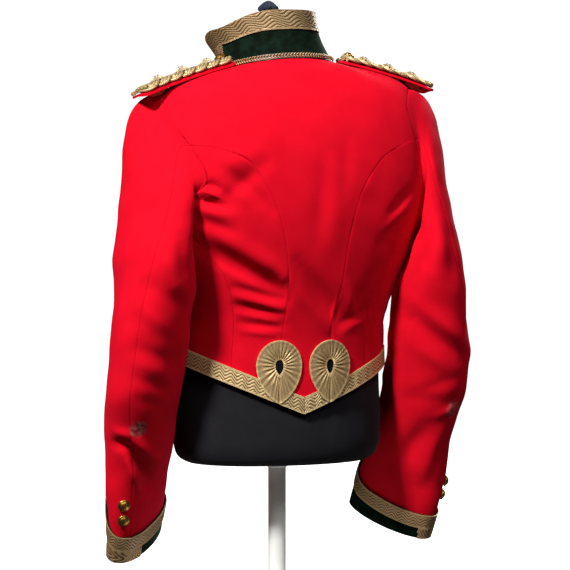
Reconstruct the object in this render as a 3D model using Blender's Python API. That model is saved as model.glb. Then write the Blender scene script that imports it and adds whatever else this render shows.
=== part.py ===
"""Officer's mess jacket on a limbless dress form with a pole stand.

The jacket is cut as a tailor cuts it: a back, two side bodies, two fronts, two-piece
sleeves, velvet cuffs and a velvet stand collar, with gold lace laid on them.  All lengths
are in metres, +Z is up, the wearer faces -Y and the wearer's left is +X.  The origin is the
centre of the stand's underside.
"""
import math

import bmesh
import bpy
import numpy as np

# ---------------------------------------------------------------- driving sizes
CLOTH = 0.0020            # doeskin wall
SEAM = 0.0003             # gap left between two pieces
VELVET = 0.0015           # facing cloth of the cuffs
LACE = 0.0012             # woven gold lace
LACE_WIDTH = 0.0220       # hem, front and cuff lace
COLLAR_WALL = 0.0026      # stiffened collar
BRAID_HEIGHT = 0.0075
BRAID_WALL = 0.0020
SHOULDER_TILT = 0.057     # the worn jacket sits higher on its right shoulder
TILT_FROM, TILT_TO = 0.45, 0.76

# ---------------------------------------------------------------- torso rings, hem to neck
# Heights at the front, side and back of each ring, its half width, the y of its front,
# widest and back points, the power of its rounded outline and how pointed it hangs behind.
RING_COLUMNS = ("front_z", "side_z", "back_z", "half_width",
                "front_y", "side_y", "back_y", "power", "vee")
TORSO_RINGS = (
    ("hem",      0.358, 0.396, 0.327, 0.1525, -0.100, 0.006, 0.106, 2.15, 1.00),
    ("belt",     0.415, 0.420, 0.405, 0.1510, -0.100, 0.008, 0.108, 2.15, 0.35),
    ("waist",    0.460, 0.458, 0.460, 0.1515, -0.100, 0.010, 0.118, 2.15, 0.00),
    ("small",    0.505, 0.502, 0.512, 0.1660, -0.106, 0.014, 0.132, 2.20, 0.00),
    ("ribs",     0.560, 0.558, 0.572, 0.1900, -0.113, 0.024, 0.143, 2.25, 0.00),
    ("armpit",   0.615, 0.622, 0.632, 0.2050, -0.117, 0.034, 0.147, 2.35, 0.00),
    ("blade",    0.660, 0.700, 0.692, 0.2000, -0.112, 0.038, 0.143, 2.30, 0.00),
    ("shoulder", 0.700, 0.766, 0.742, 0.1780, -0.101, 0.037, 0.130, 2.15, 0.00),
    ("slope",    0.732, 0.7920, 0.784, 0.1260, -0.083, 0.026, 0.109, 2.05, 0.00),
    ("neck",     0.750, 0.803, 0.806, 0.0745, -0.062, 0.014, 0.087, 2.00, 0.00),
)
HEM_POINT = 1.6           # how late the hem drops into its point
RING_TABLE = np.array([row[1:] for row in TORSO_RINGS])
TOP_LEVEL = float(len(TORSO_RINGS) - 1)
CLIMB_REACH, CLIMB_STEPS = 3.0, 400       # levels searched when going up the surface

# Largest folds of the worn back: soft lines in the x-z plane, + stands out, - sinks in
FOLD_COLUMNS = ("x1", "z1", "x2", "z2", "width", "lift")
BACK_FOLDS = (
    (0.146, 0.560, 0.050, 0.492, 0.013, -0.0050),
    (0.150, 0.618, 0.068, 0.530, 0.013, 0.0035),
    (0.135, 0.626, 0.088, 0.604, 0.010, -0.0030),
    (-0.055, 0.659, -0.031, 0.560, 0.016, 0.0025),
    (0.010, 0.520, -0.047, 0.450, 0.014, -0.0025),
    (0.095, 0.464, 0.030, 0.448, 0.009, -0.0022),
)

# ---------------------------------------------------------------- seams on the torso
# Angles are in degrees from the wearer's side, + towards the back and - towards the front.
# level: position in the ring table (0 hem, 9 neck).
BACK_SEAM_COLUMNS = ("level", "left", "right")
BACK_SEAM = (
    (0.00, 79.0, 77.0), (1.50, 79.0, 77.0), (2.80, 81.0, 75.0), (3.80, 80.0, 76.0),
    (4.70, 77.0, 74.5), (5.10, 74.0, 71.5), (5.40, 70.5, 67.0), (5.66, 64.5, 61.0),
    (5.796, 59.0, 55.0), (5.90, 39.5, 38.0),
)
SIDE_SEAM = ((0.0, 52.0), (2.6, 51.5), (3.4, 47.0), (4.2, 35.0), (4.8, 20.0))
FRONT_EDGE = ((0.0, -46.0), (2.0, -50.0), (3.0, -56.0), (4.0, -62.0), (5.0, -65.0),
              (6.0, -65.0), (7.0, -61.0), (8.0, -51.0), (9.0, -42.0))
# The armhole from its lowest point (0) to the shoulder seam (1), behind and in front.
ARMHOLE_LOW, ARMHOLE_HIGH = 4.8, 7.0
ARMHOLE_STEPS = (0.0, 0.09, 0.18, 0.27, 0.36, 0.43, 0.47, 0.5, 0.58, 0.67, 0.76, 0.85,
                 0.93, 1.0)
ARMHOLE_COLUMNS = ("climb", "back_left", "back_right", "front")
ARMHOLE = (
    (0.00, 20.0, 20.0, 20.0), (0.25, 49.0, 31.0, -22.0), (0.50, 39.5, 38.0, -34.0),
    (0.75, 13.0, 36.0, -26.0), (1.00, 8.0, 14.0, 10.0),
)
SHOULDER_SEAM_AT_NECK = 5.0
BODY_LEVELS = (0.0, 0.4, 0.9, 1.4, 2.0, 2.6, 3.2, 3.8, 4.35)
NECK_LEVELS = (7.5, 8.0, 8.5, 9.0)
SIDE_BODY_TIP_EASE = 0.7  # extra degrees left where the back seam runs level
SIDE_BODY_TIP_SHARE = 0.86
BACK_HALF_COLUMNS, SIDE_BODY_COLUMNS, FRONT_COLUMNS = 5, 4, 6

# ---------------------------------------------------------------- sleeve sections
# Centre, half of the wide and narrow axes, the direction of the wide axis, the fall of the
# section's plane towards the back, and where the hindarm seam lies on it (ellipse angle).
SLEEVE_COLUMNS = ("z", "x", "y", "wide", "narrow", "turn", "fall", "seam_left", "seam_right")
SLEEVE_SECTIONS = (
    (0.582, 0.191, 0.0720, 0.0760, 0.0450, 106.0, 0.10, -36.0, -35.0),
    (0.540, 0.200, 0.0715, 0.0730, 0.0450, 105.0, 0.05, -42.0, -40.0),
    (0.500, 0.196, 0.0655, 0.0750, 0.0520, 91.0, 0.00, -34.0, -33.0),
    (0.465, 0.1995, 0.0660, 0.0665, 0.0520, 80.5, 0.00, -23.0, -27.0),
    (0.430, 0.2005, 0.0605, 0.0655, 0.0525, 67.5, 0.00, -10.0, -19.0),
    (0.395, 0.202, 0.0520, 0.0655, 0.0495, 57.0, 0.05, 2.0, -13.0),
    (0.360, 0.204, 0.0430, 0.0645, 0.0470, 50.5, 0.13, 11.0, -8.0),
    (0.325, 0.2035, 0.0260, 0.0600, 0.0450, 43.5, 0.25, 23.0, 0.0),
    (0.283, 0.2005, 0.0065, 0.0590, 0.0395, 42.5, 0.35, 32.0, 3.0),
    (0.240, 0.200, -0.0080, 0.0595, 0.0325, 42.0, 0.42, 41.0, 5.0),
    (0.200, 0.196, -0.0245, 0.0615, 0.0265, 45.5, 0.47, 39.0, 4.0),
    (0.154, 0.1925, -0.0475, 0.0610, 0.0240, 47.0, 0.50, 37.0, 7.0),
)
SLEEVE_HANG = {"L": -0.0045, "R": 0.0045}  # the left sleeve ends lower than the right
HEAD_SMOOTHING, NORMAL_SMOOTHING = 3, 2
UNDERARM_FROM, UNDERARM_TO, UNDERARM_EASE = 0.645, 0.670, 0.8
HEAD_STEPS = (0.12, 0.30, 0.50, 0.72)     # rings between the armhole and the first section
TOP_SLEEVE_SWEEP = 210.0                  # degrees of each section cut from the top sleeve
TOP_SLEEVE_COLUMNS, UNDER_SLEEVE_COLUMNS = 16, 10
BODY_CLEARANCE = 0.0055
PRESS_FROM, PRESS_FULL = 0.27, 0.36      # below the hem the sleeve hangs free
ARMPIT_BEND = 0.014
PRESSED_LEVELS, PRESS_SAMPLES = 5.8, 200                      # the sleeves are kept off the body up to here
PRESS_SOFTNESS = 0.006
COLUMN_WIDTH = 0.02                       # least width of a column of the sleeve grid
CROWN_FROM, CROWN_LIFT = 0.70, (0.20, -0.50, 0.92)   # the sleeve head is eased over a pad
BASE_OUT, BASE_IN = 0.25, 0.42            # handles of the head's curve, as shares of its reach
CROWN_OUT, CROWN_IN = 0.41, 0.53

# Height of the cuff above the sleeve's end, round from the hindarm seam over the outside
CUFF_COLUMNS = ("turn", "height")
CUFF_BANDS = 4
CUFF_TURN = 2             # columns covered by lace on each side of the hindarm seam
CUFF_HEIGHT = ((0.0, 0.039), (0.12, 0.045), (0.25, 0.070), (0.38, 0.118), (0.50, 0.080),
               (0.62, 0.052), (0.78, 0.043), (0.90, 0.040), (1.0, 0.039))

# ---------------------------------------------------------------- collar and trims
# Rise of the collar's top above the neck seam and how far it leans out, by angle.
COLLAR_COLUMNS = ("angle", "rise", "lean")
COLLAR = ((-42.0, 0.068, 0.037), (-15.0, 0.059, 0.025), (5.0, 0.058, 0.016),
          (45.0, 0.067, 0.001), (90.0, 0.067, -0.009), (135.0, 0.069, -0.022),
          (180.0, 0.074, -0.038), (222.0, 0.070, -0.020))
COLLAR_SEGMENTS = 26
COLLAR_SHARES = (0.0, 0.16, 0.37, 0.61, 0.81, 1.0)
COLLAR_BOW = 0.004                        # how far its middle height bends in
COLLAR_TURN = 4                           # segments covered by lace at each front end
COLLAR_MEAN_RISE, BRAID_FOOT = 0.069, 0.012
EYE_HEIGHT, EYE_UNDER, EYE_OVER_LACE = 0.0033, 0.0005, 0.0019
EYE_ON_LACE = 0.014                       # how far above the hem lace an eye starts to rise
EYE_ROUND, EYE_NARROW, EYE_POINT = 2.2, 0.75, 1.15
HEM_STEPS, HEM_HALF_BODY = 25, 0.15
HEM_LACE_WIDTH = LACE_WIDTH * 1.05        # measured along the slope of the hem
FRONT_LACE_GAP, FRONT_LACE_TOP = 0.004, 8.9
EYE_HALF_WIDTH, EYE_TOP, EYE_TIP = 0.0305, 0.0340, -0.0510
EYE_HOLE_HALF_WIDTH, EYE_HOLE_TOP, EYE_HOLE_TIP = 0.0055, 0.0080, -0.0120
EYE_CENTRE_X = {"L": 0.0350, "R": -0.0372}
EYE_CENTRE_Z = 0.3925
EYE_SEGMENTS, EYE_BANDS = 22, 2

# ---------------------------------------------------------------- shoulder boards
BOARD_START = (0.0790, 0.032, 0.8055)     # underside at the neck end
BOARD_END = (0.2140, 0.044, 0.7620)       # underside at the sleeve end
BOARD_HALF_WIDTH = 0.0260
BOARD_WALL = 0.0030
BOARD_END_SHARE = 0.07                    # length of each rounded end
BOARD_END_WIDTHS = (0.45, 0.55)           # how wide its ends stay, neck and sleeve
CORD_INSET, CORD_LOBE = 0.0022, 0.0016    # cords inside the cloth, and how far lobes swell
CORD_EDGE_FALL = 0.45
BOARD_ARCH = 0.0028                       # rise of the middle over the two ends
BOARD_SAG, BOARD_REAR_SAG = 2.0, 5.0      # drop of the edges per metre of width squared
CORD_HEIGHT, CORD_LOBES = 0.0085, 5
BACKING_STEPS, CORD_STEPS = 12, 20
STAR_RADIUS, STAR_HEIGHT, STAR_POINTS = 0.0095, 0.0035, 8
STAR_LAYERS = ((0.0, 1.0), (0.35, 1.0), (1.0, 0.45))   # height and width of its rings
STAR_VALLEY = 0.62
STAR_PLACES = (0.24, 0.50, 0.76)
BUTTON_RADIUS, BUTTON_HEIGHT, BUTTON_SEGMENTS = 0.0083, 0.0060, 12
SHOULDER_BUTTON_PLACE = 0.085
BUTTON_PROFILE = (  # share of its radius, share of its height
    (0.90, 0.00), (1.00, 0.20), (0.95, 0.42), (0.80, 0.46), (0.52, 0.84), (0.18, 1.00),
)
KEEPER_SHARES, KEEPER_HALF_WIDTH = (0.70, 0.86), 0.012
KEEPER_REACH, KEEPER_GAP, KEEPER_LEAST = 0.005, 0.0004, 0.001
KEEPER_POINTS = 5
CUFF_BUTTON_HEIGHTS = (0.067, 0.088)      # above the sleeve's end
CUFF_BUTTON_STEP = 1.2                   # columns from the hindarm seam

# ---------------------------------------------------------------- dress form and stand
FORM_HIPS = (  # z, half width, half depth, centre y
    (0.2555, 0.118, 0.078, 0.000), (0.2570, 0.130, 0.087, 0.000),
    (0.2660, 0.1425, 0.0950, 0.000), (0.2850, 0.1480, 0.0985, 0.001),
    (0.3200, 0.1490, 0.0990, 0.001), (0.3700, 0.1465, 0.0970, 0.002),
)
FORM_INSET = ((0.0, 0.0055), (1.4, 0.0060), (2.5, 0.009), (4.0, 0.016), (5.0, 0.018),
              (6.0, 0.012), (7.0, 0.0060), (8.0, 0.0034), (8.6, 0.0042), (9.0, 0.0065))
FORM_LEVELS = (1.3, 2.0, 2.7, 3.5, 4.3, 5.0, 5.6, 6.2, 6.7, 7.1, 7.5, 8.0, 8.5, 8.9)
FORM_NECK = (  # z, radius, centre x, centre y
    (0.8220, 0.0500, 0.002, 0.016), (0.8450, 0.0400, 0.008, 0.018),
    (0.8580, 0.0330, 0.011, 0.018), (0.8640, 0.0200, 0.012, 0.018),
)
FORM_SEGMENTS = 28
KNOT_X, KNOT_Y, KNOT_BASE, KNOT_TOP = 0.018, 0.014, 0.8644, 0.8955
KNOT_PROFILE = (  # radius, share of its height
    (0.0150, 0.00), (0.0155, 0.25), (0.0120, 0.50), (0.0135, 0.62), (0.0085, 0.85),
    (0.0020, 1.00),
)
KNOT_PLEATS, KNOT_PINCH, KNOT_FLATNESS, KNOT_SEGMENTS = 5, 0.14, 0.8, 20
BASE_RADIUS, BASE_HEIGHT = 0.150, 0.012
HUB_HEIGHT = BASE_HEIGHT + 0.002
BASE_PROFILE = (  # radius, height
    (BASE_RADIUS - 0.001, 0.0), (BASE_RADIUS, 0.001), (BASE_RADIUS, 0.009),
    (BASE_RADIUS - 0.003, BASE_HEIGHT), (0.045, HUB_HEIGHT), (0.030, HUB_HEIGHT),
)
POLE_RADIUS, POLE_SEGMENTS = 0.0125, 24
SOCKET_PROFILE = (  # radius, height above the base
    (0.026, 0.0), (0.026, 0.010), (0.018, 0.018), (POLE_RADIUS, 0.022),
)
FLANGE_PROFILE = (  # radius, depth below the form
    (POLE_RADIUS, 0.010), (0.020, 0.004), (0.040, 0.004), (0.040, 0.0),
)
ROUND_SEGMENTS = 36


# ---------------------------------------------------------------- small helpers
def curve_value(table, position, column=1):
    """Read one column of a table at a position, through a smooth curve."""
    keys = [row[0] for row in table]
    values = [row[column] for row in table]
    if position <= keys[0]:
        return values[0]
    if position >= keys[-1]:
        return values[-1]
    index = max(i for i, key in enumerate(keys) if key <= position)
    span = keys[index + 1] - keys[index]
    share = (position - keys[index]) / span

    def slope(i):
        low, high = max(i - 1, 0), min(i + 1, len(keys) - 1)
        return (values[high] - values[low]) / (keys[high] - keys[low])

    a, b = values[index], values[index + 1]
    m_a, m_b = slope(index) * span, slope(index + 1) * span
    s2, s3 = share * share, share ** 3
    return ((2 * s3 - 3 * s2 + 1) * a + (s3 - 2 * s2 + share) * m_a
            + (3 * s2 - 2 * s3) * b + (s3 - s2) * m_b)


def smooth_step(value, low, high):
    """Ease from 0 to 1 between low and high."""
    t = np.clip((value - low) / (high - low), 0.0, 1.0)
    return t * t * (3 - 2 * t)


def unit(vectors):
    """Scale vectors to length one."""
    return vectors / np.maximum(np.linalg.norm(vectors, axis=-1, keepdims=True), 1e-12)


def settle(points):
    """Tilt the whole worn garment towards the wearer's left, as it hangs on the form."""
    moved = np.array(points, float)
    moved[..., 2] -= SHOULDER_TILT * moved[..., 0] * smooth_step(moved[..., 2],
                                                                TILT_FROM, TILT_TO)
    return moved


def material(name, colour, roughness, metallic=0.0):
    """Make one plain material for a sub-part."""
    made = bpy.data.materials.new(name)
    made.use_nodes = True
    shader = made.node_tree.nodes["Principled BSDF"]
    shader.inputs["Base Color"].default_value = (*colour, 1.0)
    shader.inputs["Roughness"].default_value = roughness
    shader.inputs["Metallic"].default_value = metallic
    made.diffuse_color = (*colour, 1.0)
    return made


def add_object(name, verts, faces, finish, smooth=True):
    """Turn points and faces into an object whose faces point outwards."""
    mesh = bpy.data.meshes.new(name)
    mesh.from_pydata([tuple(v) for v in verts], [], faces)
    work = bmesh.new()
    work.from_mesh(mesh)
    bmesh.ops.remove_doubles(work, verts=work.verts, dist=1e-6)
    bmesh.ops.recalc_face_normals(work, faces=work.faces)
    work.to_mesh(mesh)
    work.free()
    mesh.materials.append(finish)
    if smooth:
        mesh.shade_smooth()
        mesh.set_sharp_from_angle(angle=math.radians(40))
    made = bpy.data.objects.new(name, mesh)
    bpy.context.collection.objects.link(made)
    return made


# ---------------------------------------------------------------- torso surface
def ring_values(level):
    """All ring columns at a level, on a smooth curve through the ring table."""
    level = np.clip(np.asarray(level, float), 0, len(RING_TABLE) - 1)
    low = np.minimum(level.astype(int), len(RING_TABLE) - 2)
    t = (level - low)[..., None]
    before = RING_TABLE[np.maximum(low - 1, 0)]
    after = RING_TABLE[np.minimum(low + 2, len(RING_TABLE) - 1)]
    a, b = RING_TABLE[low], RING_TABLE[low + 1]
    m_a, m_b = (b - before) / 2, (after - a) / 2
    return ((2 * t ** 3 - 3 * t ** 2 + 1) * a + (t ** 3 - 2 * t ** 2 + t) * m_a
            + (3 * t ** 2 - 2 * t ** 3) * b + (t ** 3 - t ** 2) * m_b)


def fold_lift(x, z):
    """How far the folds move a point of the back out or in."""
    total = np.zeros_like(x)
    for x1, z1, x2, z2, width, lift in BACK_FOLDS:
        run_x, run_z = x2 - x1, z2 - z1
        length = run_x ** 2 + run_z ** 2
        share = np.clip(((x - x1) * run_x + (z - z1) * run_z) / length, 0, 1)
        gap = (x - x1 - run_x * share) ** 2 + (z - z1 - run_z * share) ** 2
        total = total + lift * np.exp(-gap / width ** 2) * np.sin(np.pi * (0.15 + 0.7 * share))
    return total


def torso(angle, level, folded=True):
    """Point of the jacket's outer surface; angle in radians from +X through the back."""
    angle = np.asarray(angle, float)
    row = ring_values(level)
    front_z, side_z, back_z, half_width, front_y, side_y, back_y, power, vee = (
        row[..., i] for i in range(len(RING_COLUMNS)))
    c, s = np.cos(angle), np.sin(angle)
    x = half_width * np.sign(c) * np.abs(c) ** (2 / power)
    reach = np.abs(s) ** (2 / power)
    y = np.where(s >= 0, side_y + (back_y - side_y) * reach,
                 side_y - (side_y - front_y) * reach)
    pointed = 1 - np.abs(1 - np.mod(angle / (math.pi / 2), 2))
    weight = vee * pointed ** HEM_POINT + (1 - vee) * s ** 2
    z = np.where(s >= 0, side_z + (back_z - side_z) * weight,
                 side_z + (front_z - side_z) * weight)
    if folded:
        y = y + fold_lift(x, z) * smooth_step(s, 0.0, 0.35)
    return np.stack([x, y, z], -1)


def torso_normal(angle, level):
    """Outward unit normal of the torso surface."""
    step = 0.004
    top = len(RING_TABLE) - 1
    high, low = np.minimum(level + step, top), np.maximum(level - step, 0)
    around = torso(np.add(angle, step), level) - torso(np.subtract(angle, step), level)
    upward = torso(angle, high) - torso(angle, low)
    return unit(np.cross(around, upward))


def torso_lift(angle, level, height):
    """Point of the torso surface moved out along its normal."""
    return torso(angle, level) + torso_normal(angle, level) * np.asarray(height)[..., None]


def climb(angle, level, distance):
    """Level reached by going up the surface for a distance at one angle."""
    steps = np.linspace(level, min(level + CLIMB_REACH, TOP_LEVEL), CLIMB_STEPS)
    path = torso(np.full(CLIMB_STEPS, angle), steps)
    run = np.concatenate([[0], np.cumsum(np.linalg.norm(np.diff(path, axis=0), axis=1))])
    return float(np.interp(distance, run, steps))


# ---------------------------------------------------------------- walls from grids
def shell(name, outer, inner, finish, mask=None, closed=False):
    """Wall between two grids of points; only the cells in mask are made."""
    rows, columns = outer.shape[:2]
    cell_columns = columns if closed else columns - 1
    if mask is None:
        mask = np.ones((rows - 1, cell_columns), bool)
    count = rows * columns
    verts = np.concatenate([settle(outer).reshape(-1, 3), settle(inner).reshape(-1, 3)])

    def node(r, c):
        return r * columns + c % columns

    faces, edges = [], {}
    for r in range(rows - 1):
        for c in range(cell_columns):
            if not mask[r, c]:
                continue
            loop = (node(r, c), node(r, c + 1), node(r + 1, c + 1), node(r + 1, c))
            for corner in (loop[:3], (loop[0], loop[2], loop[3])):
                faces.append(corner)
                faces.append(tuple(i + count for i in reversed(corner)))
            for a, b in zip(loop, loop[1:] + loop[:1]):
                if (b, a) in edges:
                    del edges[(b, a)]
                else:
                    edges[(a, b)] = True
    for a, b in edges:
        if a < b:
            faces += [(b, a, b + count), (a, a + count, b + count)]
        else:
            faces += [(b, a, a + count), (b, a + count, b + count)]
    used = sorted({i for face in faces for i in face})
    renumber = {old: new for new, old in enumerate(used)}
    faces = [tuple(renumber[i] for i in face) for face in faces]
    return add_object(name, verts[used], faces, finish)


def mirrored(angle, side):
    """Turn a left-side angle in degrees into radians on the given side."""
    return math.radians(angle if side == "L" else 180.0 - angle)


def armhole_level(step):
    """Level of the armhole at a share of its climb."""
    return ARMHOLE_LOW + (ARMHOLE_HIGH - ARMHOLE_LOW) * (1 - math.cos(math.pi * step)) / 2


def armhole_angle(step, side, behind):
    """Side angle in degrees of the armhole's back or front edge."""
    column = 3 if not behind else (1 if side == "L" else 2)
    top = ARMHOLE[-1][1 if side == "L" else 2]
    if behind:
        return curve_value(ARMHOLE, step, column)
    table = ARMHOLE[:-1] + ((1.0, top, top, top),)
    return curve_value(table, step, column)


def shoulder_seam(level, side):
    """Side angle in degrees of the shoulder seam, armhole to neck."""
    start = ARMHOLE[-1][1 if side == "L" else 2]
    share = (level - ARMHOLE_HIGH) / (TOP_LEVEL - ARMHOLE_HIGH)
    return start + (SHOULDER_SEAM_AT_NECK - start) * share


def seam_shift(angle, level, side, towards):
    """Move an edge by half a seam gap; towards is +1 to larger side angles."""
    a = mirrored(angle, side)
    stretch = np.linalg.norm(torso(a + 0.01, level) - torso(a - 0.01, level)) / 0.02
    return angle + towards * math.degrees(SEAM / 2 / stretch)


def body_rows(lowest, highest):
    """Levels and armhole steps of the rows between two levels."""
    rows = [(level, None) for level in BODY_LEVELS]
    rows += [(armhole_level(step), step) for step in ARMHOLE_STEPS]
    rows += [(level, None) for level in NECK_LEVELS]
    return [row for row in rows if lowest - 1e-9 <= row[0] <= highest + 1e-9]


def panel(name, rows, finish):
    """Cloth wall from rows of (level, list of angles in radians)."""
    angles = np.array([row[1] for row in rows])
    levels = np.repeat(np.array([row[0] for row in rows])[:, None], angles.shape[1], 1)
    zero = np.zeros_like(angles)
    return shell(name, torso_lift(angles, levels, zero),
                 torso_lift(angles, levels, zero - CLOTH), finish)


def back_edge(level, step, side):
    """Side angle of the back panel's edge: back seam, armhole, then shoulder seam."""
    if level < armhole_level(0.5) - 1e-9:
        angle = curve_value(BACK_SEAM, level, 1 if side == "L" else 2)
    elif step is not None:
        angle = armhole_angle(step, side, behind=True)
    else:
        angle = shoulder_seam(level, side)
    return seam_shift(angle, level, side, +1)


def make_back(finish):
    """The one-piece back, pointed at the hem."""
    half = BACK_HALF_COLUMNS
    rows = []
    for level, step in body_rows(0.0, TOP_LEVEL):
        left = mirrored(back_edge(level, step, "L"), "L")
        right = mirrored(back_edge(level, step, "R"), "R")
        middle = math.pi / 2
        angles = list(np.linspace(left, middle, half + 1))
        angles += list(np.linspace(middle, right, half + 1))[1:]
        rows.append((level, angles))
    panel("back", rows, finish)


def make_side_body(side, finish):
    """The side body between the side seam and the back seam, up to the armhole."""
    rows = []
    for level, step in body_rows(0.0, armhole_level(0.47)):
        if step is None:
            low = curve_value(SIDE_SEAM, level)
        else:
            low = armhole_angle(step, side, behind=True)
        high = curve_value(BACK_SEAM, level, 1 if side == "L" else 2)
        rows.append((level, low, high))
    rows.append(side_body_tip(rows[-1], side))
    grid = []
    for level, low, high in rows:
        steep = SIDE_BODY_TIP_EASE if level > BACK_SEAM[-3][0] else 0.0
        low = seam_shift(low, level, side, +1)
        high = seam_shift(high, level, side, -1) - steep
        angles = np.linspace(low, high, SIDE_BODY_COLUMNS + 1)
        grid.append((level, [mirrored(a, side) for a in angles]))
    panel("side_body_" + side, grid, finish)


def side_body_tip(last, side):
    """Short last row of a side body, just under the point where its two seams meet."""
    level, low, high = last
    meet = armhole_angle(0.5, side, behind=True)
    share = SIDE_BODY_TIP_SHARE
    return (level + (armhole_level(0.5) - level) * share, low + (meet - low) * share,
            high + (meet - high) * share)


def make_front(side, finish):
    """A front, cut away to hang open, from hem to shoulder."""
    rows = []
    for level, step in body_rows(0.0, TOP_LEVEL):
        if level > ARMHOLE_HIGH + 1e-9:
            high = shoulder_seam(level, side)
        elif step is not None:
            high = armhole_angle(step, side, behind=False)
        else:
            high = curve_value(SIDE_SEAM, level)
        high = seam_shift(high, level, side, -1)
        low = curve_value(FRONT_EDGE, level)
        angles = [mirrored(a, side) for a in np.linspace(low, high, FRONT_COLUMNS + 1)]
        rows.append((level, angles))
    panel("front_" + side, rows, finish)


# ---------------------------------------------------------------- sleeves
def armhole_loop(side):
    """Armhole points from the hindarm seam over the shoulder and round to it again."""
    steps = list(ARMHOLE_STEPS)
    behind = [(s, True) for s in steps if s >= 0.5]
    front = [(s, False) for s in reversed(steps[1:-1])]
    under = [(s, True) for s in steps if s < 0.5]
    places = behind + front + under
    angles = [math.radians(armhole_angle(s, side, b)) for s, b in places]
    levels = [armhole_level(s) for s, _ in places]
    return np.array(angles), np.array(levels)


def section_row(z):
    """Sleeve section columns at a height, on a smooth curve through the table."""
    table = [(-row[0],) + row[1:] for row in SLEEVE_SECTIONS]
    return [curve_value(table, -z, column) for column in range(1, len(SLEEVE_COLUMNS))]


def section_ring(z, side):
    """Points round one sleeve section, in the same order as the armhole loop."""
    x, y, wide, narrow, turn, fall, seam_left, seam_right = section_row(z)
    seam = seam_left if side == "L" else seam_right
    top = seam - TOP_SLEEVE_SWEEP * np.arange(TOP_SLEEVE_COLUMNS) / TOP_SLEEVE_COLUMNS
    rest = 360.0 - TOP_SLEEVE_SWEEP
    under = (seam - TOP_SLEEVE_SWEEP
             - rest * np.arange(UNDER_SLEEVE_COLUMNS) / UNDER_SLEEVE_COLUMNS)
    angle = np.radians(np.concatenate([top, under]))
    along = np.array([math.cos(math.radians(turn)), math.sin(math.radians(turn))])
    across = np.array([-along[1], along[0]])
    flat = (np.outer(wide * np.cos(angle), along) + np.outer(narrow * np.sin(angle), across))
    ring = np.empty((len(angle), 3))
    ring[:, 0] = x + flat[:, 0]
    ring[:, 1] = y + flat[:, 1]
    share = (SLEEVE_SECTIONS[0][0] - z) / (SLEEVE_SECTIONS[0][0] - SLEEVE_SECTIONS[-1][0])
    ring[:, 2] = z - fall * flat[:, 1] + SLEEVE_HANG[side] * share
    return ring


def keep_off_body(points):
    """Press the sleeve flat where it would enter the body's side."""
    levels = np.linspace(0, PRESSED_LEVELS, PRESS_SAMPLES)
    rows = ring_values(levels)
    found = np.stack([np.interp(points[..., 2], rows[:, 1], rows[:, i]) for i in range(8)], -1)
    half_width, front_y, side_y, back_y, power = (found[..., i] for i in range(3, 8))
    depth = np.where(points[..., 1] > side_y, back_y - side_y, side_y - front_y)
    share = np.clip(np.abs(points[..., 1] - side_y) / (depth + BODY_CLEARANCE), 0, 1)
    limit = (half_width + BODY_CLEARANCE) * (1 - share ** power) ** (1 / power)
    limit = limit + BODY_CLEARANCE * (1 - share)
    spread = points[..., 0] - limit
    pushed = points.copy()
    pressed = limit + (spread + np.sqrt(spread ** 2 + PRESS_SOFTNESS ** 2)) / 2
    beside = smooth_step(points[..., 2], PRESS_FROM, PRESS_FULL)
    pushed[..., 0] += (pressed - pushed[..., 0]) * beside
    return pushed


def sleeve_grid(side):
    """Outer points and normals of a sleeve, armhole to wrist, in left-side coordinates."""
    angles, levels = armhole_loop(side)
    edge = torso(angles, levels)
    edge_normal = torso_normal(angles, levels)
    along_edge = np.roll(edge, -1, axis=0) - np.roll(edge, 1, axis=0)
    away = unit(np.cross(edge_normal, along_edge))
    centre = edge.mean(axis=0)
    away *= np.sign(np.sum(away * (centre - edge), axis=1))[:, None]
    crown = smooth_step(edge[:, 2], CROWN_FROM, edge[:, 2].max())[:, None]
    start = unit(away + crown * np.array(CROWN_LIFT))
    tube = [keep_off_body(section_ring(row[0], side)) for row in SLEEVE_SECTIONS]
    first, second = tube[0], tube[1]
    upward = unit(first - second)
    reach = np.linalg.norm(first - edge, axis=1)[:, None]
    share_out = BASE_OUT + (CROWN_OUT - BASE_OUT) * crown
    share_in = BASE_IN + (CROWN_IN - BASE_IN) * crown
    lead_out = edge + start * np.maximum(share_out * reach, ARMPIT_BEND)
    lead_in = first + upward * np.maximum(share_in * reach, ARMPIT_BEND)
    rings = [edge + away * SEAM]
    for t in HEAD_STEPS:
        rings.append((1 - t) ** 3 * edge + 3 * t * (1 - t) ** 2 * lead_out
                     + 3 * t ** 2 * (1 - t) * lead_in + t ** 3 * first)
    rings += tube
    grid = np.array(rings)
    head = len(HEAD_STEPS) + 1
    for _ in range(HEAD_SMOOTHING):
        sides = np.roll(grid, 1, axis=1) + np.roll(grid, -1, axis=1)
        grid[1:head + 1] = (2 * grid + sides)[1:head + 1] / 4
        rows = (grid[:head] + grid[2:head + 2]) / 2
        under = 1 - smooth_step(grid[1:head + 1, :, 2:], UNDERARM_FROM, UNDERARM_TO)
        grid[1:head + 1] += (rows - grid[1:head + 1]) * under * UNDERARM_EASE
    low = 1 - smooth_step(grid[2:head, :, 2:], UNDERARM_FROM, UNDERARM_TO)
    grid[2:head] += (keep_off_body(grid[2:head]) - grid[2:head]) * low
    around = np.roll(grid, -1, axis=1) - np.roll(grid, 1, axis=1)
    down = np.gradient(grid, axis=0)
    normals = unit(np.cross(around, down))
    middle = grid.mean(axis=1, keepdims=True)
    if np.sum(normals[-1] * (grid[-1] - middle[-1])) < 0:
        normals = -normals
    normals[0] = edge_normal
    for _ in range(NORMAL_SMOOTHING):
        rows = normals[:head] + normals[2:head + 2]
        sides = np.roll(normals, 1, axis=1) + np.roll(normals, -1, axis=1)
        normals[1:head + 1] = unit(2 * normals[1:head + 1] + rows + sides[1:head + 1])
    return grid, normals


def side_points(points, side):
    """Put left-side points on the given side."""
    placed = np.array(points, float)
    if side == "R":
        placed[..., 0] *= -1
    return placed


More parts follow.
